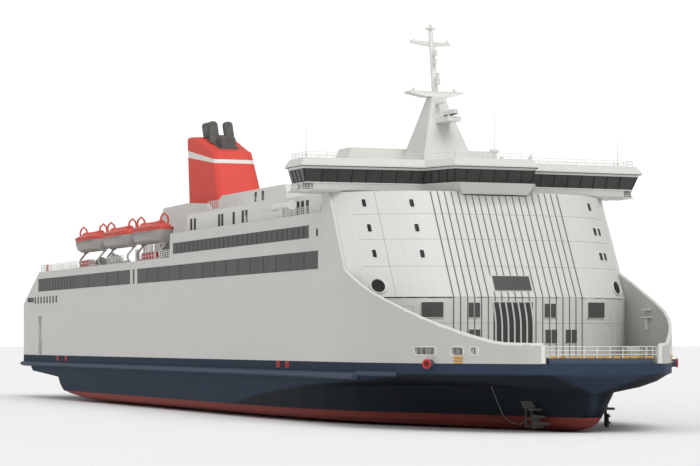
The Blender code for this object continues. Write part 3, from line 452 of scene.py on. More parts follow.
# %% Navy with painted shade under the flare and painted light at the bow
KNUCKLE = ((97.5, 1.3), (101.5, 1.75), (108.9, 2.75), (118.4, 3.6), (127.3, 4.2), (136.6, 4.6),
           (142.0, 5.1), (146.0, 5.3), (159.5, 5.35))
RAMP_START, RAMP_END = 90.0, 160.0


def paint_shade_under_flare(made, deep, painted_light):
    """Paints shade: mixes a paint towards a deeper colour below the knuckle line, and back again at the
    stem. Paints light: towards the bow the paint turns to the lighter colour."""
    tree = made.node_tree
    x, y, z = model_axes(tree)
    along = node(tree, "ShaderNodeMapRange", None,
                 {"Value": x, 1: model_x(RAMP_START), 2: model_x(RAMP_END)})
    line = node(tree, "ShaderNodeValToRGB", None, {0: along})
    stops = line.color_ramp.elements
    while len(stops) < len(KNUCKLE) + 1:
        stops.new(0.5)
    for stop, (at, height) in zip(stops, ((RAMP_START, 0.0), *KNUCKLE)):
        stop.position = (at - RAMP_START) / (RAMP_END - RAMP_START)
        stop.color = (height * SCALE,) * 3 + (1.0,)
    under = node(tree, "ShaderNodeMath", {"operation": "SUBTRACT"}, {0: line, 1: z})
    depth = node(tree, "ShaderNodeMapRange", None, {"Value": under, 1: -0.004, 2: 0.02})
    breadth = node(tree, "ShaderNodeMath", {"operation": "ABSOLUTE"}, {0: y})
    stem_half = node(tree, "ShaderNodeMapRange", None,
                     {"Value": z, 1: 3.5 * SCALE, 2: 5.3 * SCALE, 3: 0.25 * SCALE, 4: 5.2 * SCALE})
    beside = node(tree, "ShaderNodeMath", {"operation": "SUBTRACT"}, {0: breadth, 1: stem_half})
    stem = node(tree, "ShaderNodeMapRange", None, {"Value": beside, 1: -0.06, 2: 0.04, 3: 0.3, 4: 1.0})
    share = node(tree, "ShaderNodeMath", {"operation": "MULTIPLY"}, {0: depth, 1: stem})
    # Painted light: the navy turns lighter towards the bow
    fore = node(tree, "ShaderNodeMapRange", None, {"Value": x, 1: model_x(136), 2: model_x(150)})
    paint_over(made, fore, painted_light)
    paint_over(made, share, deep)


# Painted shade under the flare, and painted light on the forward plating
paint_shade_under_flare(navy_paint, "#161C23", "#313D4F")

# %% [markdown]
# Other tones change in a straight run. The antifouling darkens towards the bow, painted shade darkens
# the bow plating towards the stem, and a painted shadow falls on the front wall under the bridge's overhang.


# %% Tones between two places
def blend_between(made, axis, start, end, other, half=None):
    """Mixes a paint towards another colour between two places on one axis, in the model's metres.
    With a half breadth, only the ship's middle takes it."""
    tree = made.node_tree
    axes = model_axes(tree)
    share = node(tree, "ShaderNodeMapRange", None, {"Value": axes[axis], 1: start, 2: end})
    if half:
        edge = 1.0 * SCALE
        breadth = node(tree, "ShaderNodeMath", {"operation": "ABSOLUTE"}, {0: axes[1]})
        inside = node(tree, "ShaderNodeMapRange", None,
                      {"Value": breadth, 1: half - edge, 2: half + edge, 3: 1.0, 4: 0.0})
        share = node(tree, "ShaderNodeMath", {"operation": "MULTIPLY"}, {0: share, 1: inside})
    paint_over(made, share, other)


blend_between(antifouling, 0, model_x(40), model_x(150), "#70332E")
# Painted shade: the bow plating darkens towards the stem
blend_between(bow_enamel, 0, model_x(130), model_x(150), "#BCBBB7")
# A painted shadow darkens the front wall's middle under the bridge's overhang
blend_between(front_enamel, 2, 21.3 * SCALE, 22.9 * SCALE, "#8A8986", 4.2 * SCALE)
print("blended:", antifouling.name, bow_enamel.name, front_enamel.name)

# %% [markdown]
# The funnel is coral red with one white band that keeps to its slope. Two straight lines along the
# ship bound the band, so a point is white where it lies above the one and below the other.


# %% Funnel paint with its white band
def banded_paint(name, base, shade, band, low_line, high_line):
    """A paint with a band between two lines, each given by two (x, z) ends in real metres. Beyond
    its ends a line runs on level."""
    made = marine_paint(name, base, shade, roughness=0.55, streaks=0.3, specular=0.2)
    tree = made.node_tree
    x, _, z = model_axes(tree)
    sides = []
    for (x0, z0), (x1, z1), compare in ((*low_line, "GREATER_THAN"), (*high_line, "LESS_THAN")):
        line = node(tree, "ShaderNodeMapRange", None,
                    {"Value": x, 1: model_x(x0), 2: model_x(x1), 3: z0 * SCALE, 4: z1 * SCALE})
        sides.append(node(tree, "ShaderNodeMath", {"operation": compare}, {0: z, 1: line}))
    both = node(tree, "ShaderNodeMath", {"operation": "MULTIPLY"}, {0: sides[0], 1: sides[1]})
    paint_over(made, both, band)
    return made


# Two-pack coral enamel: the brightest paint on board, wiped clean of soot each voyage
funnel_paint = banded_paint("coral_red_funnel_enamel", "#E2564A", "#D64D41", "#E6E4E0",
                            ((43.0, 32.95), (54.9, 31.35)), ((43.0, 33.85), (54.9, 31.85)))

# %% [markdown]
# ## Painting the solids
# Every solid of the frame keeps its shape and takes the finish of the real part. The match goes by
# the start of the node's name, since the two sides of the ship are alike.

# %% Give each CAD node its finish
NODE_PAINT = {
    "hull_bottom": antifouling, "hull_topsides": navy_paint, "bow_platform": band_blue,
    "side_shell": shell_enamel, "upper_accommodation": shell_enamel, "front_block": front_enamel,
    "bow_plate": bow_enamel, "stern_ramp": shell_enamel, "bridge_base": apron_enamel,
    "bridge_roof": white_enamel, "mast_base": white_enamel, "mast_pole": fitting_white,
    "radar": fitting_white, "engine_casing": house_enamel, "bridge_house": house_enamel,
    "top_house": house_enamel, "deckhouse": house_enamel, "cowl_ventilator": house_enamel,
    "deck_drum": grey_enamel, "bridge_glass": bridge_glass, "lower_windows": cabin_glass,
    "upper_windows": cabin_glass, "funnel": funnel_paint, "exhaust_pipes": exhaust_paint,
    "belting": band_blue, "shaft": grey_enamel, "anchor": anchor_iron, "windlass": davit_grey,
    "davit": davit_grey, "propeller": propeller_bronze, "rudder": antifouling,
}
for name, solid in nodes.items():
    start = max((key for key in NODE_PAINT if name.startswith(key)), key=len, default=None)
    if start:
        for place in solid.material_slots:
            place.material = NODE_PAINT[start]
    print(name, "->", NODE_PAINT[start].name if start else "finished later")

# %% [markdown]
# ## Lifeboat finish
# The boats have grey moulded hulls under red covers. One material holds both: the gunwale's sheer
# parts them, and the height above it chooses the colour, so the solid needs no cut.


# %% Grey laminate hull under a red cover
def boat_finish(name, centre, length):
    """Moulded grey laminate up to the sheer, and red coated cloth with soft folds above it."""
    made, tree, shader = new_material(name, 0.45)
    where = node(tree, "ShaderNodeTexCoord").outputs["Object"]
    x, _, z = model_axes(tree)
    along = node(tree, "ShaderNodeMapRange", {"clamp": False},
                 {"Value": x, 1: model_x(centre), 2: model_x(centre + length / 2), 3: 0.0, 4: 1.0})
    sheer = node(tree, "ShaderNodeMath", {"operation": "MULTIPLY"}, {0: along, 1: along})
    gunwale = node(tree, "ShaderNodeMath", {"operation": "MULTIPLY_ADD"},
                   {0: sheer, 1: 0.2 * SCALE, 2: 21.72 * SCALE})
    above = node(tree, "ShaderNodeMath", {"operation": "GREATER_THAN"}, {0: z, 1: gunwale})
    cloth = node(tree, "ShaderNodeTexNoise", None, {"Vector": where, "Scale": 26.0, "Detail": 5.0})
    red = node(tree, "ShaderNodeMix", {"data_type": "RGBA"},
               {"Factor": cloth, 6: colour("#DB5A4C"), 7: colour("#B9453B")})
    grey = node(tree, "ShaderNodeMix", {"data_type": "RGBA"},
                {"Factor": cloth, 6: colour("#9C9893"), 7: colour("#8E8A84")})
    both = node(tree, "ShaderNodeMix", {"data_type": "RGBA"},
                {"Factor": above, 6: grey.outputs[2], 7: red.outputs[2]})
    tree.links.new(both.outputs[2], shader.inputs["Base Color"])
    folds = node(tree, "ShaderNodeMath", {"operation": "MULTIPLY"}, {0: above, 1: cloth})
    relief = node(tree, "ShaderNodeBump", None, {"Height": folds, "Strength": 0.5, "Distance": 0.02})
    tree.links.new(relief.outputs[0], shader.inputs["Normal"])
    return made


BOAT_CENTRES = (36.5, 50.7, 64.9)
BOAT_LENGTH = 11.6
for number, centre in enumerate(BOAT_CENTRES, 1):
    finish = boat_finish(f"laminate_hull_with_red_cover_{number}", centre, BOAT_LENGTH)
    for _, word in SIDES:
        for place in nodes[f"lifeboat_{word}_{number}"].material_slots:
            place.material = finish
print("boats finished:", len(BOAT_CENTRES) * 2)

# %% [markdown]
# ## Side windows
# The long dark strips are rows of panes in one recess. Thin black gaskets part them, close together
# aft and in the upper strip, wide apart in the saloons. A white lip frames each strip, and its corners
# are rounded, which keeps real openings from cracking in a seaway.


# %% Gaskets between the panes
def pane_lines(start, end, pitch):
    """Places of the gaskets between panes about one pitch long, the two ends left out."""
    count = max(1, round((end - start) / pitch))
    return [start + (end - start) * i / count for i in range(1, count)]


LOWER_STRIP, UPPER_STRIP = (15.43, 17.33), (18.6, 19.96)
LOWER_LINES = (pane_lines(9.1, 31.4, 1.72) + [37.4, 47.1, 52.5] + pane_lines(61.4, 84.4, 4.4) +
               pane_lines(84.4, 126.8, 4.25))
UPPER_LINES = pane_lines(76.8, 124.1, 1.63)
for side, word in SIDES:
    lines = bmesh.new()
    for places, (low, high), width in ((LOWER_LINES, LOWER_STRIP, 0.07), (UPPER_LINES, UPPER_STRIP, 0.1)):
        for x in places:
            add_tile(lines, on_side(side, x, (low + high) / 2, BEAM - 0.015), width, high - low, 0.012)
    make_piece(f"window_gaskets_{word}", lines, [rubber_and_painted_shade])

# %% [markdown]
# Each strip's lip is four slim bars. In every corner a small web fills the angle with a quarter round:
# one point is spun into the arc, the corner joins it, and the face is extruded to the lip's thickness.


# %% Lips and rounded corners of the strips
def add_corner_web(bm, place, radius, thick):
    """Fills a right angle at the frame's origin, leaving a quarter round towards +X and +Y."""
    part = bmesh.new()
    start = part.verts.new((radius, 0, 0))
    bmesh.ops.spin(part, geom=[start], cent=(radius, radius, 0), axis=(0, 0, 1), dvec=(0, 0, 0),
                   angle=-math.pi / 2, steps=6, use_duplicate=False)
    part.verts.new((0, 0, 0))
    face = part.faces.new(list(part.verts))
    out = bmesh.ops.extrude_face_region(part, geom=[face])
    moved = [v for v in out["geom"] if isinstance(v, bmesh.types.BMVert)]
    bmesh.ops.translate(part, verts=moved, vec=(0, 0, thick))
    add_part(bm, part, place)


LIP = 0.07
STRIPS = ((9.1, 58.3, *LOWER_STRIP), (59.3, 60.3, *LOWER_STRIP), (61.4, 126.8, *LOWER_STRIP),
          (76.8, 124.1, *UPPER_STRIP))
for side, word in SIDES:
    lips = bmesh.new()
    for start, end, low, high in STRIPS:
        half_long, half_tall = (end - start) / 2, (high - low) / 2
        centre = on_side(side, start + half_long, low + half_tall)
        for sign in (-1, 1):
            level = centre @ Matrix.Translation((0, sign * half_tall, 0))
            upright = centre @ Matrix.Translation((sign * half_long, 0, 0))
            add_tile(lips, level, 2 * half_long + LIP, LIP, 0.015)
            add_tile(lips, upright, 2 * LIP, 2 * half_tall, 0.015)
        if half_long < 1:
            continue
        for quarter, (across, up) in enumerate(((-1, -1), (1, -1), (1, 1), (-1, 1))):
            corner = Matrix.Translation((across * half_long, up * half_tall, -0.01))
            turn = Matrix.Rotation(math.radians(90 * quarter), 4, "Z")
            add_corner_web(lips, centre @ corner @ turn, 0.36, 0.025)
    make_piece(f"window_lips_{word}", lips, [shell_enamel])

# %% [markdown]
# ## The front wall
# Twenty slim ribs run from under the bridge over the knee, and most go on down to the deck: stiffeners
# that also give the wall its look. They leave the large window free and stop above the louvres. Fine
# level welds part the decks. The ribs follow the wall's bow and rake, so each one is a square bar swept
# along points that are read from the wall.

# %% Ribs of the front wall
RIB_PLACES = [-6.7 + 0.68 * i + 0.002 * i * i for i in range(20)]
RIB_TOP, RIB_HALF, RIB_OUT = 22.85, 0.052, 0.03
ribs = bmesh.new()
for y in RIB_PLACES:
    foot = 12.05 if -2.9 < y < 1.6 else DECK_Z + 0.1
    runs = [(RIB_TOP, KNEE_Z, foot)]
    if -2.6 < y < 1.7:
        runs = [(RIB_TOP, 14.6), (13.0, KNEE_Z, 12.1)]
    for heights in runs:
        add_tube(ribs, along_wall([(y, z) for z in heights], RIB_OUT), RIB_HALF, 4)
make_piece("front_wall_ribs", ribs, [rib_grey])

# %% Welds of the front wall and a painted shadow under its knee
welds = bmesh.new()
for z in (20.6, 18.1, 15.45, KNEE_Z - 0.02, 9.99):
    add_tube(welds, along_wall([(-13.5 + 27 * i / 30, z) for i in range(31)]), 0.02, 4)
add_tube(welds, along_wall([(-11.6, z) for z in (22.8, KNEE_Z)]), 0.022, 4)
make_piece("front_wall_welds", welds, [weld_paint])
# A dark bar under the knee is a painted shadow where the wall below steps in
knee_painted_shadow = bmesh.new()
for places, drop, radius in (((-12.5, -11.5, -10.2, -8.6, -6.9), 0.08, 0.05),
                             ((-6.9, -4, 0, 4, 7, 9, 10.5, 11.7, 12.7, 13.4), 0.06, 0.025)):
    add_tube(knee_painted_shadow, along_wall([(y, KNEE_Z - drop) for y in places], 0.01), radius, 4)
make_piece("painted_shadow_under_knee", knee_painted_shadow, [rubber_and_painted_shade])

# %% [markdown]
# Windows in the front wall are small and strong. Each is a plate with round corners whose face is
# inset to leave a rim and pushed back to form the pane, so frame and glass are one closed shape.

# %% Windows of the front wall
small_windows = bmesh.new()
front_windows = bmesh.new()
SMALL_PANES = [(-12.54, 21.73), (-8.65, 21.66), (-12.53, 19.23), (-8.67, 19.2), (-12.55, 16.7), (-8.7, 16.65),
               (11.38, 21.75), (11.25, 19.2), (12.1, 19.2), (11.2, 16.68), (12.0, 16.68)]
for y, z in SMALL_PANES:
    width = 0.54 if y < 0 else 0.8
    add_tile(small_windows, on_front(y, z), width, 1.0, 0.04, 0.2, 0.06, 0.015)
make_piece("small_front_windows", small_windows, [fitting_white, small_glass])
for left, right, low, high in ((-2.45, 1.5, 12.98, 14.62), (-9.7, -7.55, 10.5, 12.0),
                               (7.45, 10.0, 10.5, 12.05)):
    add_tile(front_windows, on_front((left + right) / 2, (low + high) / 2), right - left, high - low,
             0.1, 0.1, 0.03, 0.03)
for left, right, low, high in ((-5.32, -4.08, 10.5, 11.95), (-5.25, -4.05, 8.1, 9.4),
                               (2.62, 3.95, 10.5, 11.9), (2.7, 4.05, 8.05, 9.4), (4.93, 6.3, 8.05, 9.4)):
    half = (right - left) / 2
    for centre in (left + half / 2, right - half / 2):
        add_tile(front_windows, on_front(centre, (low + high) / 2), half - 0.03, high - low, 0.1, 0.06,
                 0.025, 0.02)
make_piece("front_wall_windows", front_windows, [fitting_white, front_glass])

# %% [markdown]
# Under the large window stand six tall louvre openings with curved sides, and two round hawse openings
# sit at the wall's outer ends, where mooring lines lead out. The louvres are dark blades behind white
# posts. Each hawse opening is a spun ring with a sunken throat.

# %% Louvres
SLOTS, BLADES, LOUVRE_TOP, LOUVRE_TALL = 6, 36, 11.95, 4.6
louvre_posts = bmesh.new()
for i in range(SLOTS + 1):
    path = []
    for step in range(9):
        bulge = 0.3 * math.sin(min(step / 4, 1) * math.pi / 2)
        path.append((-2.8 + 3.95 * i / SLOTS + bulge, LOUVRE_TOP - LOUVRE_TALL * step / 8))
    add_tube(louvre_posts, along_wall(path, 0.08), 0.085, 4)
louvre_blades = bmesh.new()
wall_x = front_wall_x(0, 9)
add_block(louvre_blades, (wall_x - 0.1, -2.72, 7.35), (wall_x + 0.03, 1.4, 11.98))
for i in range(BLADES):
    z = 7.5 + 4.35 * i / (BLADES - 1)
    add_block(louvre_blades, (wall_x - 0.02, -2.68, z), (wall_x + 0.06, 1.36, z + 0.04))
make_piece("front_louvre_blades", louvre_blades, [dark_grey_enamel_and_painted_shade])
make_piece("front_louvre_posts", louvre_posts, [fitting_white])


# %% Hawse openings
def add_hawse(bm, place, radius):
    """A round opening: a small circle spun into a rim, and a shallow throat whose dark floor is painted shade
    for the hole's inside.
    """
    part = bmesh.new()
    rim = bmesh.ops.create_circle(part, cap_ends=False, segments=8, radius=0.09,
                                  matrix=Matrix.Translation((radius, 0, 0.03)) @ UPRIGHT)
    edges = list({e for v in rim["verts"] for e in v.link_edges})
    bmesh.ops.spin(part, geom=rim["verts"] + edges, cent=(0, 0, 0), axis=(0, 0, 1), dvec=(0, 0, 0),
                   angle=math.tau, steps=28, use_merge=True, use_duplicate=False)
    floor = bmesh.ops.create_cone(part, cap_ends=True, segments=28, radius1=radius, radius2=radius,
                                  depth=0.1, matrix=Matrix.Translation((0, 0, -0.03)))
    for face in {f for v in floor["verts"] for f in v.link_faces}:
        face.material_index = 1
    add_part(bm, part, place)


hawse = bmesh.new()
for y, wide in ((-12.77, 1.0), (12.7, 1.5)):
    add_hawse(hawse, on_front(y, 13.55) @ Matrix.Diagonal((wide, 1, 1, 1)), 0.8)
make_piece("front_wall_hawse_openings", hawse, [fitting_white, rubber_and_painted_shade])

# %% Doors of the front wall
doors = bmesh.new()
for left, right, low, high in ((-11.1, -10.2, 10.5, 11.6), (10.8, 12.3, 9.7, 11.2),
                               (11.05, 12.35, 7.2, 9.7), (-8.0, -7.0, 7.0, 9.1)):
    corners = ((left, low), (right, low), (right, high), (left, high))
    add_tube(doors, along_wall(corners), 0.024, 4, closed=True)
    latch = on_front(left + 0.2, (low + high) / 2)
    add_rod(doors, latch @ Vector((0, -0.15, 0.04)), latch @ Vector((0, 0.15, 0.04)), 0.03)
make_piece("front_wall_door_seams", doors, [weld_paint])

# %% [markdown]
# ## The bridge
# The bridge windows form one sloped band of dark glass. Black gaskets stand at each pane's edge, a white
# sill runs below, a dark line of painted shadow lies under the roof's edge above, and guard rails ring
# the roof. The glass leans outwards at the top to keep reflections out of the officers' eyes, so every
# gasket leans the same way. All these pieces follow the same three corners, set back from the roof's
# edge by what each one needs.


# %% Where the bridge's front edge lies
BRIDGE_AFT_X, BRIDGE_HALF = 127.0, 18.6


def bridge_corners(back, inward=0.0):
    """The front edge's corners to port: the centre's end, its slant's end and the wing's end."""
    return [(136.6 - back, 4.5 - back * 0.5), (132.5 - back, 5.95 - back * 0.3),
            (131.75 - back, BRIDGE_HALF - inward)]


def bridge_front_x(y, back):
    """How far forward the bridge reaches at this breadth, set back from its roof edge."""
    corners = bridge_corners(back)
    y = abs(y)
    if y <= corners[0][1]:
        return corners[0][0]
    for (x0, y0), (x1, y1) in zip(corners, corners[1:]):
        if y <= y1:
            return x0 + (x1 - x0) * (y - y0) / (y1 - y0)
    return corners[-1][0]


def bridge_edge(back, inward, z):
    """The bridge's outline from the starboard end round the front to the port end."""
    half = bridge_corners(back, inward) + [(BRIDGE_AFT_X, BRIDGE_HALF - inward)]
    return [(x, -y, z) for x, y in reversed(half)] + [(x, y, z) for x, y in half]


# %% Gaskets of the bridge glass
GLASS_EDGES = ((23.8, 0.92, 0.75), (25.1, 0.35, 0.35))
PROUD = Vector((0.01, 0, 0))
bridge_lines = bmesh.new()
breadths = [sign * y for y in (1.48, 2.95, 4.2, 7.1, 8.6, 10.15, 11.7, 13.2, 14.7, 16.25) for sign in (-1, 1)]
for y in [0.0] + breadths:
    ends = [Vector((bridge_front_x(y, back), y, z)) + PROUD for z, back, _ in GLASS_EDGES]
    add_tube(bridge_lines, ends, 0.045, 4)
for side, _ in SIDES:
    for x in (127.9, 128.9, 129.9):
        ends = [(x, side * (BRIDGE_HALF + 0.01 - inward), z) for z, _, inward in GLASS_EDGES]
        add_tube(bridge_lines, ends, 0.045, 4)
    for share in (0.0, 0.25, 0.5, 0.75, 1.0):
        ends = []
        for z, back, _ in GLASS_EDGES:
            near, far = [Vector((x, side * y, z)) for x, y in bridge_corners(back)[:2]]
            ends.append(near.lerp(far, share) + PROUD)
        add_tube(bridge_lines, ends, 0.06, 4)
    ends = []
    for z, back, inward in GLASS_EDGES:
        x, y = bridge_corners(back, inward)[2]
        ends.append((x, side * y, z))
    add_tube(bridge_lines, ends, 0.07, 4)
make_piece("bridge_window_gaskets", bridge_lines, [rubber_and_painted_shade])

# %% Sill, gutter, painted shadow lines and apron of the bridge
bridge_trim = bmesh.new()
add_tube(bridge_trim, bridge_edge(0.9, 0.73, 23.78), 0.05, 6)
add_tube(bridge_trim, bridge_edge(0.5, 0.5, ROOF_Z), 0.05, 6)
make_piece("bridge_sill_and_gutter", bridge_trim, [fitting_white])
shadow_lines = bmesh.new()
# Dark bars of painted shadow: one under the roof's edge, one on the front wall under the apron
add_tube(shadow_lines, bridge_edge(0.05, 0.05, 25.33), 0.035, 4)
add_tube(shadow_lines, along_wall([(y, 22.58) for y in (-3.4, -1.7, 0.0, 1.7, 3.4)], 0.02), 0.08, 4)
make_piece("bridge_painted_shadow_lines", shadow_lines, [rubber_and_painted_shade])
apron = bmesh.new()
foot = ((132.6, -5.2), (136.3, -3.5), (136.3, 3.5), (132.6, 5.2))
outline = [apron.verts.new((x, y, 22.62)) for x, y in foot]
raised = bmesh.ops.extrude_face_region(apron, geom=[apron.faces.new(outline)])
top = [v for v in raised["geom"] if isinstance(v, bmesh.types.BMVert)]
bmesh.ops.translate(apron, verts=top, vec=(0.45, 0, 1.14))
for point in top:
    point.co.y *= 1.15
make_piece("bridge_centre_apron", apron, [apron_enamel])

# %% Rails of the bridge roof
roof_rail = bmesh.new()
add_railing(roof_rail, bridge_edge(0.75, 0.75, ROOF_Z), 0.6, 2, 1.1, 0.026)
for side, _ in SIDES:
    ends = [(BRIDGE_AFT_X, side * y, ROOF_Z) for y in (17.85, 9.1)]
    add_railing(roof_rail, ends, 0.6, 2, 1.4, 0.026)
make_piece("bridge_roof_rails", roof_rail, [fitting_white])

# %% [markdown]
# ## Guard rails
# Every open deck edge has a guard rail about a metre high: slim posts and level bars, all of tube. The
# aft deck's rails stop where a davit's arm has to swing out over the ship's side.

# %% Rails of the aft and upper decks
RAIL_Y, HOUSE_RAIL_Y, HOUSE_ROOF_Z = 14.82, 12.85, 23.4
RAIL_RUNS = [(start, end, RAIL_Y, AFT_DECK_Z, 0.95, 4, spacing, 0.04) for start, end, spacing in (
    (10.4, 30.9, 1.1), (37.3, 40.4, 1.2), (46.8, 54.6, 1.2), (68.3, 69.0, 1.2), (70.6, 74.6, 1.0))]
RAIL_RUNS += [(103.5, 126.9, RAIL_Y, UPPER_DECK_Z, 0.75, 3, 1.3, 0.03),
              (95.0, 122.2, HOUSE_RAIL_Y, HOUSE_ROOF_Z, 0.7, 3, 1.6, 0.024)]
for side, word in SIDES:
    rails = bmesh.new()
    for start, end, y, z, *kind in RAIL_RUNS:
        add_railing(rails, [(start, side * y, z), (end, side * y, z)], *kind)
    make_piece(f"deck_rails_{word}", rails, [fitting_white])
stern_rail = bmesh.new()
add_railing(stern_rail, [(10.4, -RAIL_Y, AFT_DECK_Z), (10.4, RAIL_Y, AFT_DECK_Z)], 0.95, 4, 1.5, 0.04)
add_railing(stern_rail, [(41.6, -5.5, 24.9), (41.6, 5.5, 24.9)], 0.95, 3, 1.6, 0.03)
for side, _ in SIDES:
    add_railing(stern_rail, [(61.9, side * 5.85, 24.95), (66.4, side * 5.85, 24.95)], 0.9, 3, 0.8, 0.05)
make_piece("stern_and_casing_rails", stern_rail, [fitting_white])

# %% [markdown]
# ## Deckhouse, casing and side openings
# The deckhouse windows are tall and narrow, most in pairs. Right aft, a row of small upright windows
# and one long slot light the mooring deck. Red ladders under the white line mark where the pilot boards.

# %% Windows of the deckhouses, casing and stern
HOUSE_Y, CASING_Y = 13.0, 6.0
HOUSE_WINDOWS = (77.85, 79.3, 88.65, 89.8, 93.95, 97.2, 98.45, 115.35, 116.75, 118.2)
# Each row: places along the ship, height, breadth, then width, height, thickness, corner, rim and sink
WINDOW_ROWS = (
    (HOUSE_WINDOWS, 22.15, HOUSE_Y, 0.62, 1.35, 0.06, 0.08, 0.07, 0.03),
    ((81.1, 83.7), 25.4, CASING_Y, 0.62, 1.15, 0.06, 0.08, 0.07, 0.03),
    ([7.35 + 1.8 * i for i in range(8)], 14.2, BEAM, 0.62, 0.95, 0.04, 0.06, 0.06, 0.02),
    ((4.55,), 14.32, BEAM, 3.7, 0.62, 0.04, 0.1, 0.08, 0.02),
    ((126.45,), 19.1, BEAM, 0.42, 0.8, 0.04, 0.18, 0.05, 0.02))
for side, word in SIDES:
    openings = bmesh.new()
    for places, z, y, *sizes in WINDOW_ROWS:
        for x in places:
            add_tile(openings, on_side(side, x, z, y), *sizes)
    make_piece(f"small_windows_{word}", openings, [rubber_and_painted_shade, small_glass])

# %% Doors, plate joints and boarding ladders
for side, word in SIDES:
    doors = bmesh.new()
    for x, z, y, wide, tall in ((104.6, 22.1, HOUSE_Y, 0.9, 1.9), (84.0, 22.1, HOUSE_Y, 0.9, 1.9),
                                (88.5, 25.3, CASING_Y, 0.8, 1.7)):
        middle = on_side(side, x, z, y)
        add_tile(doors, middle, wide, tall, 0.05, 0.12)
        add_tile(doors, middle, wide - 0.16, tall - 0.16, 0.08, 0.1)
        add_rod(doors, middle @ Vector((0.25, 0, 0.1)), middle @ Vector((0.25, -0.25, 0.12)), 0.03)
    for x in (83.0, 92.0, 101.0, 106.5, 112.0):
        add_tile(doors, on_side(side, x, 22.25, HOUSE_Y), 0.06, 2.25, 0.03)
    make_piece(f"deckhouse_doors_and_joints_{word}", doors, [house_enamel])
    ladders = bmesh.new()
    for x in (21.0, 25.7, 114.9, 117.7):
        for step in range(3):
            add_tile(ladders, on_side(side, x, 5.62 + 0.24 * step), 0.95, 0.13, 0.09, 0.03)
        for rail in (-0.42, 0.42):
            add_tile(ladders, on_side(side, x + rail, 5.86), 0.09, 0.7, 0.1, 0.02)
    make_piece(f"boarding_ladders_{word}", ladders, [signal_red])

# %% [markdown]
# The side door at the stern stands in a recess. It's a plate door on hinges with a slatted vent at its
# foot and a light jamb, so the deep recess doesn't read as a blank slot.

# %% Side doors in their recesses
SIDE_DOOR_X, RECESS_Y = 10.35, 14.5
for side, word in SIDES:
    door = bmesh.new()
    add_tile(door, on_side(side, SIDE_DOOR_X, 9.6, RECESS_Y), 1.9, 4.4, 0.08, 0.15)
    add_tile(door, on_side(side, SIDE_DOOR_X, 9.9, RECESS_Y), 1.4, 3.2, 0.13, 0.1)
    for step in range(5):
        add_tile(door, on_side(side, SIDE_DOOR_X, 6.55 + 0.42 * step, RECESS_Y), 2.2, 0.16, 0.3, 0.03)
    for z in (8.2, 11.0):
        add_rod(door, (9.45, side * 14.68, z - 0.2), (9.45, side * 14.68, z + 0.2), 0.09, 10)
    make_piece(f"side_door_{word}", door, [apron_enamel])
    jamb = bmesh.new()
    for x, z, wide, tall in ((9.02, 9.12, 0.14, 5.8), (11.68, 9.12, 0.14, 5.8),
                             (SIDE_DOOR_X, 11.98, 2.8, 0.14)):
        add_tile(jamb, on_side(side, x, z, BEAM - 0.01), wide, tall, 0.05, 0.02)
    make_piece(f"side_door_jamb_{word}", jamb, [fitting_white])

# %% [markdown]
# ## Aft deck
# Crates of life jackets stand behind white grids. Between the boats are grey vent domes on their
# plinths, lockers, posts and one tall round vent trunk, and a ring buoy hangs right aft. A dome is half
# a sphere, cut by a plane, whose rim is extruded down into a wall and closed.


# %% Domes
def add_dome(bm, centre, radius, height, sides=20):
    """A squat cylinder under a rounded cap."""
    part = bmesh.new()
    bmesh.ops.create_uvsphere(part, u_segments=sides, v_segments=12, radius=radius)
    cut = bmesh.ops.bisect_plane(part, geom=part.verts[:] + part.edges[:] + part.faces[:],
                                 plane_co=(0, 0, 0), plane_no=(0, 0, -1), clear_outer=True)
    rim = [e for e in cut["geom_cut"] if isinstance(e, bmesh.types.BMEdge)]
    wall = bmesh.ops.extrude_edge_only(part, edges=rim)
    low = [v for v in wall["geom"] if isinstance(v, bmesh.types.BMVert)]
    bmesh.ops.translate(part, verts=low, vec=(0, 0, -height))
    bottom = [e for e in wall["geom"] if isinstance(e, bmesh.types.BMEdge) and set(e.verts) <= set(low)]
    bmesh.ops.edgeloop_fill(part, edges=bottom)
    add_part(bm, part, Matrix.Translation(Vector(centre) + Vector((0, 0, height))))


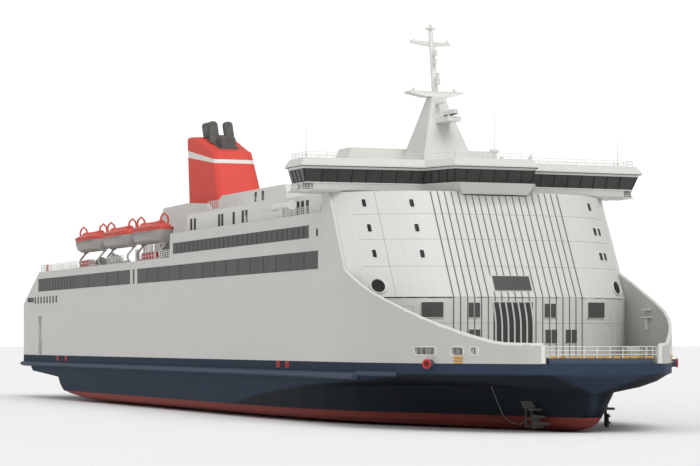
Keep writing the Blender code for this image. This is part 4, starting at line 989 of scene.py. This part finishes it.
# %% Vents, lockers, posts and crates
CRATE_RUNS = ((32.1, 36.9), (61.8, 67.9))
for side, word in SIDES:
    vents = bmesh.new()
    for x, radius in ((26.6, 0.75), (33.4, 0.9), (40.4, 1.05)):
        add_dome(vents, (x, side * 12.0, AFT_DECK_Z), radius, 0.55)
        add_box(vents, x, side * 12.0, AFT_DECK_Z, 1.8, 1.8, 0.35, 0.05)
    for x, y, *sizes in ((53.0, 10, 2.0, 1.6, 1.5, 0.08), (71.55, 11, 2.1, 1.4, 1.8, 0.08),
                         (56.8, 9, 4.0, 2.2, 2.5, 0.06)):
        add_box(vents, x, side * y, AFT_DECK_Z, *sizes)
    for z in (18.9, 19.3, 19.7, 20.1):
        add_tile(vents, on_side(side, 57.4, z, 10.1), 1.6, 0.16, 0.1, 0.03)
    make_piece(f"aft_deck_vents_{word}", vents, [grey_enamel])
    posts = bmesh.new()
    for x, y, tall, cap, radius, rim, sides in (
            (44.6, 13.6, 1.5, 0.12, 0.28, 0.36, 16), (56.6, 13.6, 1.5, 0.12, 0.28, 0.36, 16),
            (50.9, 10.5, 2.9, 0.15, 0.66, 0.72, 24)):
        foot, top = Vector((x, side * y, AFT_DECK_Z)), Vector((x, side * y, AFT_DECK_Z + tall))
        add_rod(posts, foot, top, radius, sides)
        add_rod(posts, top, top + Vector((0, 0, cap)), rim, sides)
    add_box(posts, 53.25, side * 9, AFT_DECK_Z, 2.7, 2.0, 2.8, 0.06)
    make_piece(f"aft_deck_posts_{word}", posts, [house_enamel])
    crates = bmesh.new()
    for start, end in CRATE_RUNS:
        count = round((end - start) / 1.2)
        step = (end - start) / count
        for i in range(count):
            x = start + step * (i + 0.5)
            add_box(crates, x, side * 14.2, AFT_DECK_Z + 0.1, step - 0.1, 0.8, 0.82, 0.06)
    buoy = ring_on(Matrix.Translation((13.1, side * 14.6, 18.85)) @ UPRIGHT, 0.42, 14)
    add_tube(crates, buoy, 0.11, 8, closed=True)
    for x in (12.6, 13.6):
        foot = Vector((x, side * 14.6, AFT_DECK_Z))
        add_rod(crates, foot, foot + Vector((0, 0, 0.75)), 0.09, 8)
    make_piece(f"life_jacket_crates_and_ring_buoy_{word}", crates, [signal_red])
    grids = bmesh.new()
    for start, end in ((32.0, 37.0), (61.7, 68.0)):
        ends = [(x, side * 14.7, AFT_DECK_Z) for x in (start, end)]
        add_railing(grids, ends, 1.0, 2, 1.22, 0.035)
    make_piece(f"crate_grids_{word}", grids, [fitting_white])

# %% [markdown]
# ## Funnel top
# Each exhaust pipe has a spark arrester in its mouth: rings, one within another, that let the gas out
# and keep embers in. The pipes rake aft, so the rings lie square to that rake.

# %% Spark arresters in the exhaust mouths
arresters = bmesh.new()
rake = Vector((-0.45, 0, 1)).normalized().to_track_quat("Z", "Y").to_matrix().to_4x4()
for x, y in ((46.22, -1.05), (48.59, -1.05), (48.59, 1.05)):
    for radius in (0.4, 0.26, 0.12):
        ring = ring_on(Matrix.Translation((x, y, 37.15)) @ rake, radius, 20)
        add_tube(arresters, ring, 0.035, 6, closed=True)
make_piece("spark_arrester_rings", arresters, [exhaust_paint])

# %% [markdown]
# ## Mast
# Navigation lamps stand on brackets forward of the pole and on the yard's ends. A ladder climbs the
# mast's raked back, a whistle sits on the radar bracket, and a dark slotted face runs along the
# scanner's underside, which turns with it.

# %% Lamps, ladder, whistle and scanner face
mast_fittings = bmesh.new()
for z, reach in ((38.0, 1.05), (37.1, 0.75), (35.6, 1.2), (34.95, 1.3)):
    pole_x = 121.2 - 1.25 * (z - 34.1) / 6.8
    lamp_x = pole_x + reach - 0.12
    add_block(mast_fittings, (pole_x, -0.09, z - 0.09), (pole_x + reach, 0.09, z + 0.05))
    add_rod(mast_fittings, (lamp_x, 0, z - 0.06), (lamp_x, 0, z + 0.4), 0.15, 12)
    add_rod(mast_fittings, (lamp_x, 0, z + 0.4), (lamp_x, 0, z + 0.5), 0.2, 12, 0.05)
add_rod(mast_fittings, (121.1, 0, 38.0), (121.1, 0, 38.95), 0.08, 8)
add_rod(mast_fittings, (119.95, 0, 40.85), (119.95, 0, 40.98), 0.5, 16)
add_rod(mast_fittings, (119.95, 0, 40.98), (119.95, 0, 41.3), 0.17, 12)
for side, _ in SIDES:
    add_rod(mast_fittings, (120.9, side * 2.3, 34.2), (120.9, side * 2.3, 34.55), 0.16, 10)
    add_rod(mast_fittings, (119.93, side * 1.9, 39.5), (119.93, side * 1.9, 39.75), 0.12, 10)
make_piece("mast_lamps_and_brackets", mast_fittings, [fitting_white])
ladder = bmesh.new()
add_block(ladder, (122.2, -0.5, 32.72), (124.6, -0.1, 32.94), 0.04)
add_rod(ladder, (124.4, -0.3, 32.9), (124.4, -0.3, 33.15), 0.17, 10)
for rail in (-0.28, 0.28):
    add_tube(ladder, [(118.3, rail, 26.7), (120.25, rail, 33.1)], 0.045, 6)
for step in range(14):
    z = 27.2 + 0.42 * step
    x = 118.38 + 1.9 * (z - 26.6) / 6.35
    add_rod(ladder, (x, -0.25, z), (x, 0.25, z), 0.04, 6)
make_piece("mast_ladder_and_whistle", ladder, [fitting_white])
scanner = bmesh.new()
add_block(scanner, (123.72, -0.19, 31.40), (126.68, 0.19, 31.46))
make_piece("radar_waveguide", scanner, [dark_grey_enamel_and_painted_shade], "radar_scanner")

# %% Antennas on the bridge roof
antennas = bmesh.new()
for x, y, top in ((129.0, -17.1, 29.3), (130.0, 2.75, 31.4), (129.0, 17.2, 29.1)):
    add_rod(antennas, (x, y, ROOF_Z), (x, y, ROOF_Z + 0.6), 0.08, 8)
    add_rod(antennas, (x, y, ROOF_Z + 0.6), (x, y, top), 0.042, 6, 0.022)
add_rod(antennas, (130.0, 2.75, ROOF_Z), (130.0, 2.75, 27.35), 0.1, 10)
add_box(antennas, 130.0, 2.75, 27.3, 0.3, 0.94, 0.32, 0.06)
for y in (1.7, 3.6):
    add_box(antennas, 130.0, y, ROOF_Z, 0.3, 0.28, 0.75, 0.03)
make_piece("bridge_roof_antennas", antennas, [fitting_white])

# %% [markdown]
# ## Bridge wings
# Under the end glass each wing has an open lattice, so that an officer can look straight down the ship's
# side when she berths. Its opening behind the crossed bars is a dark block of painted shade, and small
# dark tiles of painted shade stand for the openings in the plate before it.

# %% Wing lattices
LATTICE_AFT, LATTICE_FORE, LATTICE_Y = 127.2, 130.3, 18.05
CROSSES, CROSS_RUN = 6, 3.3
for side, word in SIDES:
    lattice = bmesh.new()
    outer, low, high = side * LATTICE_Y, 23.12, 23.76
    for i in range(CROSSES):
        one, two = [LATTICE_AFT + CROSS_RUN * (i + end) / CROSSES for end in (0, 1)]
        add_rod(lattice, (one, outer, low), (two, outer, high), 0.045, 5)
        add_rod(lattice, (one, outer, high), (two, outer, low), 0.045, 5)
    for z in (low, high):
        add_rod(lattice, (LATTICE_AFT, outer, z), (LATTICE_FORE, outer, z), 0.05, 5)
    add_block(lattice, (LATTICE_FORE - 0.1, side * 16.9, 23.0), (LATTICE_FORE + 0.05, outer, 23.79), 0.02)
    make_piece(f"wing_lattice_{word}", lattice, [fitting_white])
    # Painted shade: a dark block behind the bars and dark tiles for the plate's openings
    dark = bmesh.new()
    add_block(dark, (128.7, side * 17.5, 23.08), (LATTICE_FORE - 0.08, side * (LATTICE_Y - 0.1), 23.78))
    for y in (17.35, 17.65, 17.92):
        for z in (23.2, 23.41, 23.62):
            place = frame_on((LATTICE_FORE + 0.05, side * y, z), (0, 1, 0))
            add_tile(dark, place, 0.2, 0.12, 0.02, 0.03)
    make_piece(f"wing_lattice_painted_shade_{word}", dark, [dark_grey_enamel_and_painted_shade])

# %% [markdown]
# ## Bow
# The bulwark's edge is capped by a rounded bar, and brackets hold it up from inside. Across the open stem
# a three-bar rail stands behind yellow kick plates.


# %% Bulwark caps and brackets
def on_bow(side, x, z, out=0.0):
    """A frame on the bow plating, whose plan follows the deck's edge."""
    step = 0.01
    slope = (deck_half(x + step) - deck_half(x - step)) / (2 * step)
    place = frame_on((x, side * deck_half(x), z), (-side, -slope, 0))
    return place @ Matrix.Translation((0, 0, out))


CAP_PLACES = (133.9, 135.2, 136.5, 138.2, 140, 143, 146, 148, 150, 152, 154, 155, 156, 157.5, 158.6, 159.05)
STEM_X, BRACKET_X = CAP_PLACES[-1], 141.25
for side, word in SIDES:
    cap = bmesh.new()
    add_tube(cap, [(x, side * (deck_half(x) - 0.16), bulwark_top(x)) for x in CAP_PLACES], 0.17, 6)
    add_tube(cap, [(STEM_X, side * (deck_half(STEM_X) - 0.15), z) for z in (7.9, 6.3)], 0.19, 6)
    make_piece(f"bulwark_cap_{word}", cap, [fitting_white])
    brackets = bmesh.new()
    inner = side * (deck_half(BRACKET_X) - 0.3)
    for z in (11.35, 10.6):
        add_box(brackets, BRACKET_X, inner - side * 0.225, z - 0.07, 1.9, 0.45, 0.14, 0.02)
    add_block(brackets, (141.0, inner, 9.4), (141.4, inner - side * 0.3, 10.6), 0.02)
    make_piece(f"bulwark_brackets_{word}", brackets, [fitting_white])

# %% Stem rail and kick plates
SILL_Z = 6.73
stem_rail = bmesh.new()
across = [(158.95, -5.5, SILL_Z), (159.35, -3.2, SILL_Z), (159.35, 3.2, SILL_Z), (158.95, 5.5, SILL_Z)]
add_railing(stem_rail, across, 1.05, 3, 1.25, 0.035)
for side, _ in SIDES:
    back = [(155.3, side * 4.95, SILL_Z), (158.95, side * 5.15, SILL_Z)]
    add_railing(stem_rail, back, 1.05, 3, 0.9, 0.035)
make_piece("stem_rail", stem_rail, [fitting_white])
kick = bmesh.new()
for i in range(12):
    y = -5.1 + 0.87 * i
    x = 158.86 if abs(y + 0.3) > 3.2 else 159.2
    add_block(kick, (x, y, SILL_Z), (x + 0.14, y + 0.7, SILL_Z + 0.19), 0.02)
make_piece("stem_kick_plates", kick, [safety_yellow])

# %% [markdown]
# Mooring lines leave through framed openings in the bow plating, with roller housings behind them, and
# through a fairlead: a short pipe with a red ring, whose dark throat is painted shade for the pipe's
# inside. Yellow treads lead up to the openings. A dark bolster on the hull keeps the stowed anchor off
# the paint.

# %% Openings and roller housings of the bow plating
ARC_POINTS = 7
OPENINGS = ((147.26, 149.78, 7.01, 7.75, 0.14), (151.25, 152.48, 6.95, 7.75, 0.3),
            (153.01, 153.85, 7.03, 7.75, 0.33))
for side, word in SIDES:
    rims = bmesh.new()
    for left, right, low, high, corner in OPENINGS:
        ring = []
        for cx, cz, first in ((right - corner, high - corner, 0), (left + corner, high - corner, 90),
                              (left + corner, low + corner, 180), (right - corner, low + corner, 270)):
            for i in range(ARC_POINTS):
                angle = math.radians(first + 90 * i / (ARC_POINTS - 1))
                x, z = cx + corner * math.cos(angle), cz + corner * math.sin(angle)
                ring.append((x, side * (deck_half(x) + 0.01), z))
        add_tube(rims, ring, 0.045, 6, closed=True)
    make_piece(f"bow_opening_rims_{word}", rims, [fitting_white])
    rollers = bmesh.new()
    for x in (147.6, 148.5, 151.6):
        place = on_bow(side, x, DECK_Z, -0.75) @ Matrix.Translation((0, 0.75, 0))
        add_tile(rollers, place, 0.7, 1.5, 0.3, 0.1)
    make_piece(f"mooring_roller_housings_{word}", rollers, [davit_grey])
    treads = bmesh.new()
    for z in (6.35, 6.6, 6.85):
        add_tile(treads, on_bow(side, 152.0, z), 0.95, 0.13, 0.12, 0.03)
    make_piece(f"bow_treads_{word}", treads, [safety_yellow])

# %% Fairleads and anchor bolsters
for side, word in SIDES:
    place = on_bow(side, 149.2, 6.2) @ Matrix.Diagonal((1, 0.86, 1, 1))
    lead = bmesh.new()
    add_tube(lead, ring_on(place, 0.42, 24, height=0.55), 0.09, 8, closed=True)
    for x in (-0.15, 0.15):
        add_rod(lead, place @ Vector((x, -0.36, 0.55)), place @ Vector((x, 0.36, 0.55)), 0.035, 6)
    make_piece(f"fairlead_rims_{word}", lead, [signal_red])
    # The throat is a dark disc in the pipe's mouth: painted shade for its inside
    for name, radius, end_radius, depth, out, finish in (("pipe", 0.46, 0.42, 0.8, 0.1, band_blue),
                                                         ("throat", 0.38, 0.38, 0.1, 0.48, rubber_and_painted_shade)):
        tube = bmesh.new()
        bmesh.ops.create_cone(tube, cap_ends=True, segments=24, radius1=radius, radius2=end_radius,
                              depth=depth, matrix=place @ Matrix.Translation((0, 0, out)))
        make_piece(f"fairlead_{name}_{word}", tube, [finish])
    bolster = bmesh.new()
    add_block(bolster, (152.6, side * 3.0, 1.94), (153.4, side * 4.25, 2.16), 0.05)
    make_piece(f"anchor_bolster_{word}", bolster, [dark_grey_enamel_and_painted_shade])

# %% [markdown]
# ## Foredeck
# Bollards stand in pairs on their beds, and a hatch lies between them. Every bollard is spun from one
# outline, so waist and cap come in one turn.


# %% Bollards and hatch
BOLLARD_OUTLINE = ((0, 0), (1.15, 0), (1.15, 0.06), (0.85, 0.12), (0.8, 0.72), (1.1, 0.84), (1.1, 0.94),
                   (0.9, 1.0), (0, 1.0))


def add_bollard(bm, centre, radius, height):
    """Spins a bollard's outline: a waisted post under a wider cap."""
    part = bmesh.new()
    points = [part.verts.new((r * radius, 0, h * height)) for r, h in BOLLARD_OUTLINE]
    edges = [part.edges.new(pair) for pair in zip(points, points[1:])]
    bmesh.ops.spin(part, geom=points + edges, cent=(0, 0, 0), axis=(0, 0, 1), dvec=(0, 0, 0),
                   angle=math.tau, steps=16, use_merge=True, use_duplicate=False)
    bmesh.ops.remove_doubles(part, verts=part.verts, dist=1e-5)
    add_part(bm, part, Matrix.Translation(centre))


BED = 0.15
mooring = bmesh.new()
for side, _ in SIDES:
    for x, y in ((147.5, 10.0), (155.4, 6.4), (144.6, 11.5)):
        add_box(mooring, x, side * y, DECK_Z, 2.0, 0.9, BED, 0.03)
        for offset in (-0.55, 0.55):
            add_bollard(mooring, (x + offset, side * y, DECK_Z + BED), 0.3, 0.85)
make_piece("foredeck_bollards", mooring, [grey_enamel])
hatch = bmesh.new()
add_box(hatch, 146.6, 0, DECK_Z, 2.8, 2.8, 0.5, 0.08)
add_box(hatch, 146.6, 0, DECK_Z + 0.5, 3.1, 3.1, 0.12, 0.05)
make_piece("foredeck_hatch", hatch, [fitting_white])

# %% [markdown]
# ## Anchor chain
# A studless chain hangs down the hull and curves forward to the anchor. Each link is a ring drawn out
# long and bent to the line, and every second one is turned a quarter.


# %% Chain links along the hull
def flare_y(x, z):
    """The hull's half breadth where the chain hangs, from the CAD solid itself."""
    hull = nodes["hull_topsides"] if z > 1.38 else nodes["hull_bottom"]
    start = Vector((model_x(x), -2.5, z * SCALE))
    inverse = hull.matrix_world.inverted()
    found, point, _, _ = hull.ray_cast(inverse @ start, inverse.to_3x3() @ Vector((0, 1, 0)))
    return -(hull.matrix_world @ point).y / SCALE if found else None


CHAIN_LINE = ((148.3, 4.1), (148.3, 3.4), (148.3, 2.6), (148.4, 1.9), (148.4, 1.2), (148.6, 0.75),
              (149.2, 0.55), (149.9, 0.7), (150.6, 0.95), (151.3, 1.3))
LINKS = 5
chain_points = []
for (x0, z0), (x1, z1) in zip(CHAIN_LINE, CHAIN_LINE[1:]):
    for step in range(LINKS):
        x, z = x0 + (x1 - x0) * step / LINKS, z0 + (z1 - z0) * step / LINKS
        half = flare_y(x, z)
        if half:
            chain_points.append((x, half + 0.07, z))
for side, word in SIDES:
    chain = bmesh.new()
    for i, ((x0, y0, z0), (x1, y1, z1)) in enumerate(zip(chain_points, chain_points[1:])):
        one, two = Vector((x0, side * y0, z0)), Vector((x1, side * y1, z1))
        turn = (two - one).to_track_quat("X", "Z").to_matrix().to_4x4()
        quarter = Matrix.Rotation(math.radians(90 * (i % 2)), 4, "X")
        place = Matrix.Translation((one + two) / 2) @ turn @ quarter
        add_tube(chain, ring_on(place, 0.1, 8, other=0.05), 0.022, 4, closed=True)
    make_piece(f"anchor_chain_{word}", chain, [grey_enamel])
print("chain points on the hull:", len(chain_points))

# %% [markdown]
# ## Lifeboats
# A laced cover keeps rain out of each boat. Its skirt hangs in scallops below the gunwale, hoops push
# it up into a row of rounded humps, small windows dot its side, and a rubber fender guards the hull
# below. These pieces ride with the boat's davit.


# %% Boat lines
BOAT_Y, SKIRT_POINTS = 14.0, 49


def boat_half(t):
    """Half the boat's breadth, with t from -1 at one end to 1 at the other."""
    return 1.7 * max(0.14, (1 - abs(t) ** 3.6) ** 0.55)


def boat_gunwale(t):
    """The gunwale's height, with a little sheer to both ends."""
    return 22.0 + 0.2 * t * t


def spread(count, reach):
    """Even places from -reach to reach."""
    return [-reach + 2 * reach * i / (count - 1) for i in range(count)]


# %% Skirts, fenders and cover windows
for number, centre in enumerate(BOAT_CENTRES, 1):
    for side, word in SIDES:
        skirt, fender, lights = bmesh.new(), bmesh.new(), bmesh.new()
        middle = side * BOAT_Y
        for face in (-1, 1):
            wave, bar = [], []
            for i, t in enumerate(spread(SKIRT_POINTS, 0.97)):
                x, y = centre + t * BOAT_LENGTH / 2, middle + face * (boat_half(t) + 0.01)
                wave.append((x, y, boat_gunwale(t) - 0.06 + 0.09 * abs(math.sin(i * math.pi / 4))))
                bar.append((x, y - face * 0.03, boat_gunwale(t) - 0.42))
            add_tube(skirt, wave, 0.09, 6)
            add_tube(fender, bar[5:-5], 0.045, 6)
            for t in spread(9, 0.72):
                x, y = centre + t * BOAT_LENGTH / 2, middle + face * boat_half(t) * 0.985
                place = frame_on((x, y, boat_gunwale(t) + 0.12), (-face, 0, 0))
                add_tile(lights, place, 0.22, 0.1, 0.05, 0.03)
        for t in spread(7, 0.66):
            point = (centre + t * BOAT_LENGTH / 2, middle, boat_gunwale(t) + 0.32)
            add_dome(skirt, point, 0.62, 0.1, 12)
        for name, shape, finish in (("boat_cover_skirt", skirt, cover_coral),
                                    ("boat_fender", fender, grey_enamel),
                                    ("boat_cover_windows", lights, rubber_and_painted_shade)):
            make_piece(f"{name}_{word}_{number}", shape, [finish], f"davit_{word}_{number}")

# %% [markdown]
# ## Stern
# The transom carries the vehicle ramp, stiffened by ribs, inside a round-edged frame, with small mooring
# openings on both sides of it. Below the water each propeller has a fairing cap, and each rudder has
# zinc anodes, which corrode in place of the steel.

# %% Ramp, frame and transom
ramp_ribs = bmesh.new()
for i in range(9):
    y = -6.8 + 1.7 * i
    add_block(ramp_ribs, (-0.14, y - 0.09, 7.0), (0.04, y + 0.09, 11.8), 0.03)
for z in (7.4, 9.4, 11.5):
    add_block(ramp_ribs, (-0.12, -7.2, z - 0.08), (0.04, 7.2, z + 0.08), 0.03)
make_piece("ramp_stiffeners", ramp_ribs, [fitting_white], "stern_ramp")
transom = bmesh.new()
ramp_frame = bmesh.new()
# The openings' sunk dark faces are painted shade for the holes' insides
for side, _ in SIDES:
    for y, z, wide, tall in ((11.2, 8.2, 2.6, 1.2), (11.2, 12.6, 1.6, 0.9), (13.6, 12.6, 1.0, 0.9),
                             (8.9, 12.6, 1.6, 0.9)):
        add_tile(transom, frame_on((0, side * y, z), (0, -1, 0)), wide, tall, 0.06, 0.2, 0.12, 0.03)
    corners = ((side * 7.75, 6.6), (side * 7.75, 12.25), (0, 12.25))
    add_tube(ramp_frame, [(-0.02, y, z) for y, z in corners], 0.12, 6)
make_piece("transom_openings", transom, [fitting_white, rubber_and_painted_shade])
make_piece("ramp_frame", ramp_frame, [fitting_white])

# %% Propeller caps and rudder anodes
SHAFT_Y = 5.0
for side, word in SIDES:
    cone = bmesh.new()
    add_rod(cone, (8.75, side * SHAFT_Y, 1.6), (8.25, side * SHAFT_Y, 1.6), 0.33, 20, 0.12)
    make_piece(f"propeller_cap_{word}", cone, [propeller_bronze], f"propeller_{word}")
    zinc = bmesh.new()
    for z in (1.0, 2.1):
        for face in (-1, 1):
            inner, outer = side * SHAFT_Y + face * 0.14, side * SHAFT_Y + face * 0.3
            add_block(zinc, (6.3, inner, z), (7.0, outer, z + 0.16), 0.03)
    make_piece(f"rudder_anodes_{word}", zinc, [grey_enamel], f"rudder_{word}")

# %% [markdown]
# ## Decks and roofs
# Decks are painted grey with grit underfoot. Each coating is a thin sheet that stops short of the deck's
# edge, where a white waterway drains rain. Hatches, vents and a skylight break up the roofs.

# %% Deck coatings
COAT, ROOTED, FOREDECK_STRIPS = 0.02, 0.05, 14
coats = bmesh.new()
SIDE_COATS = ((40.0, 75.3, 6.1, 14.2, AFT_DECK_Z), (75.8, 126.8, 13.1, 14.6, UPPER_DECK_Z),
              (42.9, 60.5, 3.4, 5.6, 24.9))
MIDDLE_COATS = ((11.2, 40.0, 14.2, AFT_DECK_Z), (69.0, 90.6, 5.4, 26.3), (128.0, 130.9, 17.4, ROOF_Z))
runs = [(start, end, side * inner, side * outer, z) for start, end, inner, outer, z in SIDE_COATS
        for side, _ in SIDES]
runs += [(start, end, -half, half, z) for start, end, half, z in MIDDLE_COATS]
for start, end, one, two, z in runs:
    add_block(coats, (start, one, z - ROOTED), (end, two, z + COAT))
make_piece("deck_coatings", coats, [deck_paint])
foredeck = bmesh.new()
for i in range(FOREDECK_STRIPS):
    x0, x1 = [142.2 + 16.0 * (i + end) / FOREDECK_STRIPS for end in (0, 1)]
    half = deck_half(x1) - 0.9
    add_block(foredeck, (x0, -half, DECK_Z - ROOTED), (x1, half, DECK_Z + COAT))
make_piece("foredeck_coating", foredeck, [deck_paint])

# %% Roof fittings
roof = bmesh.new()
for x, y, z, long, wide, tall in (
        (72.5, 0.5, 26.3, 3.0, 3.2, 0.35), (79.0, 2.8, 26.3, 1.4, 1.4, 0.5), (79.0, 0.4, 26.3, 1.4, 1.4, 0.5),
        (86.0, 1.0, 26.3, 4.4, 2.4, 0.4), (115.9, 1.5, 28.4, 2.4, 2.4, 0.25),
        (100.0, 9.6, HOUSE_ROOF_Z, 1.8, 1.8, 0.3), (100.0, -9.0, HOUSE_ROOF_Z, 1.8, 1.8, 0.3),
        (84.0, 9.0, HOUSE_ROOF_Z, 3.0, 2.0, 0.3), (84.0, -8.6, HOUSE_ROOF_Z, 3.0, 2.0, 0.3)):
    add_box(roof, x, y, z - 0.02, long, wide, tall + 0.02, 0.05)
    add_box(roof, x, y, z + tall * 0.7, long + 0.16, wide + 0.16, tall * 0.15, 0.02)
make_piece("roof_hatches_and_vents", roof, [house_enamel])

# %% [markdown]
# ## Camera, light and floor
# The photograph was taken from low off the bow with a long lens. A level camera with a small vertical
# shift keeps the ship's uprights upright. A pale floor and a wide soft sky light her. A large lamp
# forward gives the front wall its brightness, and a weaker one keeps the side's shade gentle.

# %% Camera
IMAGE_WIDTH, IMAGE_HEIGHT = 700, 466
FOCAL_PIXELS, HORIZON_ROW = 2370, 340.8
SENSOR = 36.0
view_camera = bpy.data.cameras.new("view")
view_camera.sensor_width = SENSOR
view_camera.lens = FOCAL_PIXELS / IMAGE_WIDTH * SENSOR
view_camera.shift_y = (HORIZON_ROW - IMAGE_HEIGHT / 2) / IMAGE_WIDTH
view_camera.clip_end = 400.0
camera = bpy.data.objects.new("view", view_camera)
camera.location = (26.825, -9.69, 0.83)
camera.rotation_euler = Vector((-0.9331, 0.3597, 0)).to_track_quat("-Z", "Y").to_euler()
bpy.context.scene.collection.objects.link(camera)
bpy.context.scene.camera = camera
print("lens", round(view_camera.lens, 2), "shift", round(view_camera.shift_y, 4))

# %% Floor
floor_mesh = bmesh.new()
bmesh.ops.create_grid(floor_mesh, x_segments=1, y_segments=1, size=300.0)
floor_data = bpy.data.meshes.new("floor")
floor_mesh.to_mesh(floor_data)
floor_mesh.free()
floor_finish, _, floor_shader = new_material("pale_studio_floor", 0.9, specular=0.2)
floor_shader.inputs["Base Color"].default_value = colour("#FDFDFD")
floor_data.materials.append(floor_finish)
floor = bpy.data.objects.new("floor", floor_data)
# Two millimetres under the keel, so that the two faces don't fight for the same pixels
floor.location = (0, 0, -0.002)
bpy.context.scene.collection.objects.link(floor)

# %% Sky and lamps
sky = bpy.data.worlds.new("soft_sky")
sky.use_nodes = True
background = sky.node_tree.nodes["Background"]
towards = node(sky.node_tree, "ShaderNodeTexCoord").outputs["Generated"]
facing = node(sky.node_tree, "ShaderNodeVectorMath", {"operation": "DOT_PRODUCT"},
              {0: towards, 1: (-0.93, 0.36, 0.0)})
level = node(sky.node_tree, "ShaderNodeMapRange", None,
             {"Value": facing.outputs["Value"], 1: 0.86, 2: 0.96, 3: 0.47, 4: 1.05})
sky.node_tree.links.new(level.outputs[0], background.inputs["Strength"])
background.inputs["Color"].default_value = colour("#FFFFFF")
bpy.context.scene.world = sky


def add_sun(name, towards, strength, spread):
    """A wide lamp that shines in one direction; the spread in degrees softens its shadows."""
    lamp = bpy.data.lights.new(name, "SUN")
    lamp.energy = strength
    lamp.angle = math.radians(spread)
    made = bpy.data.objects.new(name, lamp)
    made.rotation_euler = Vector(towards).to_track_quat("-Z", "Y").to_euler()
    bpy.context.scene.collection.objects.link(made)


add_sun("front_lamp", (-0.8, -0.02, -0.8), 1.6, 40)
add_sun("side_fill", (-0.2, 0.9, -0.55), 0.45, 60)
bpy.context.scene.view_settings.view_transform = "Standard"
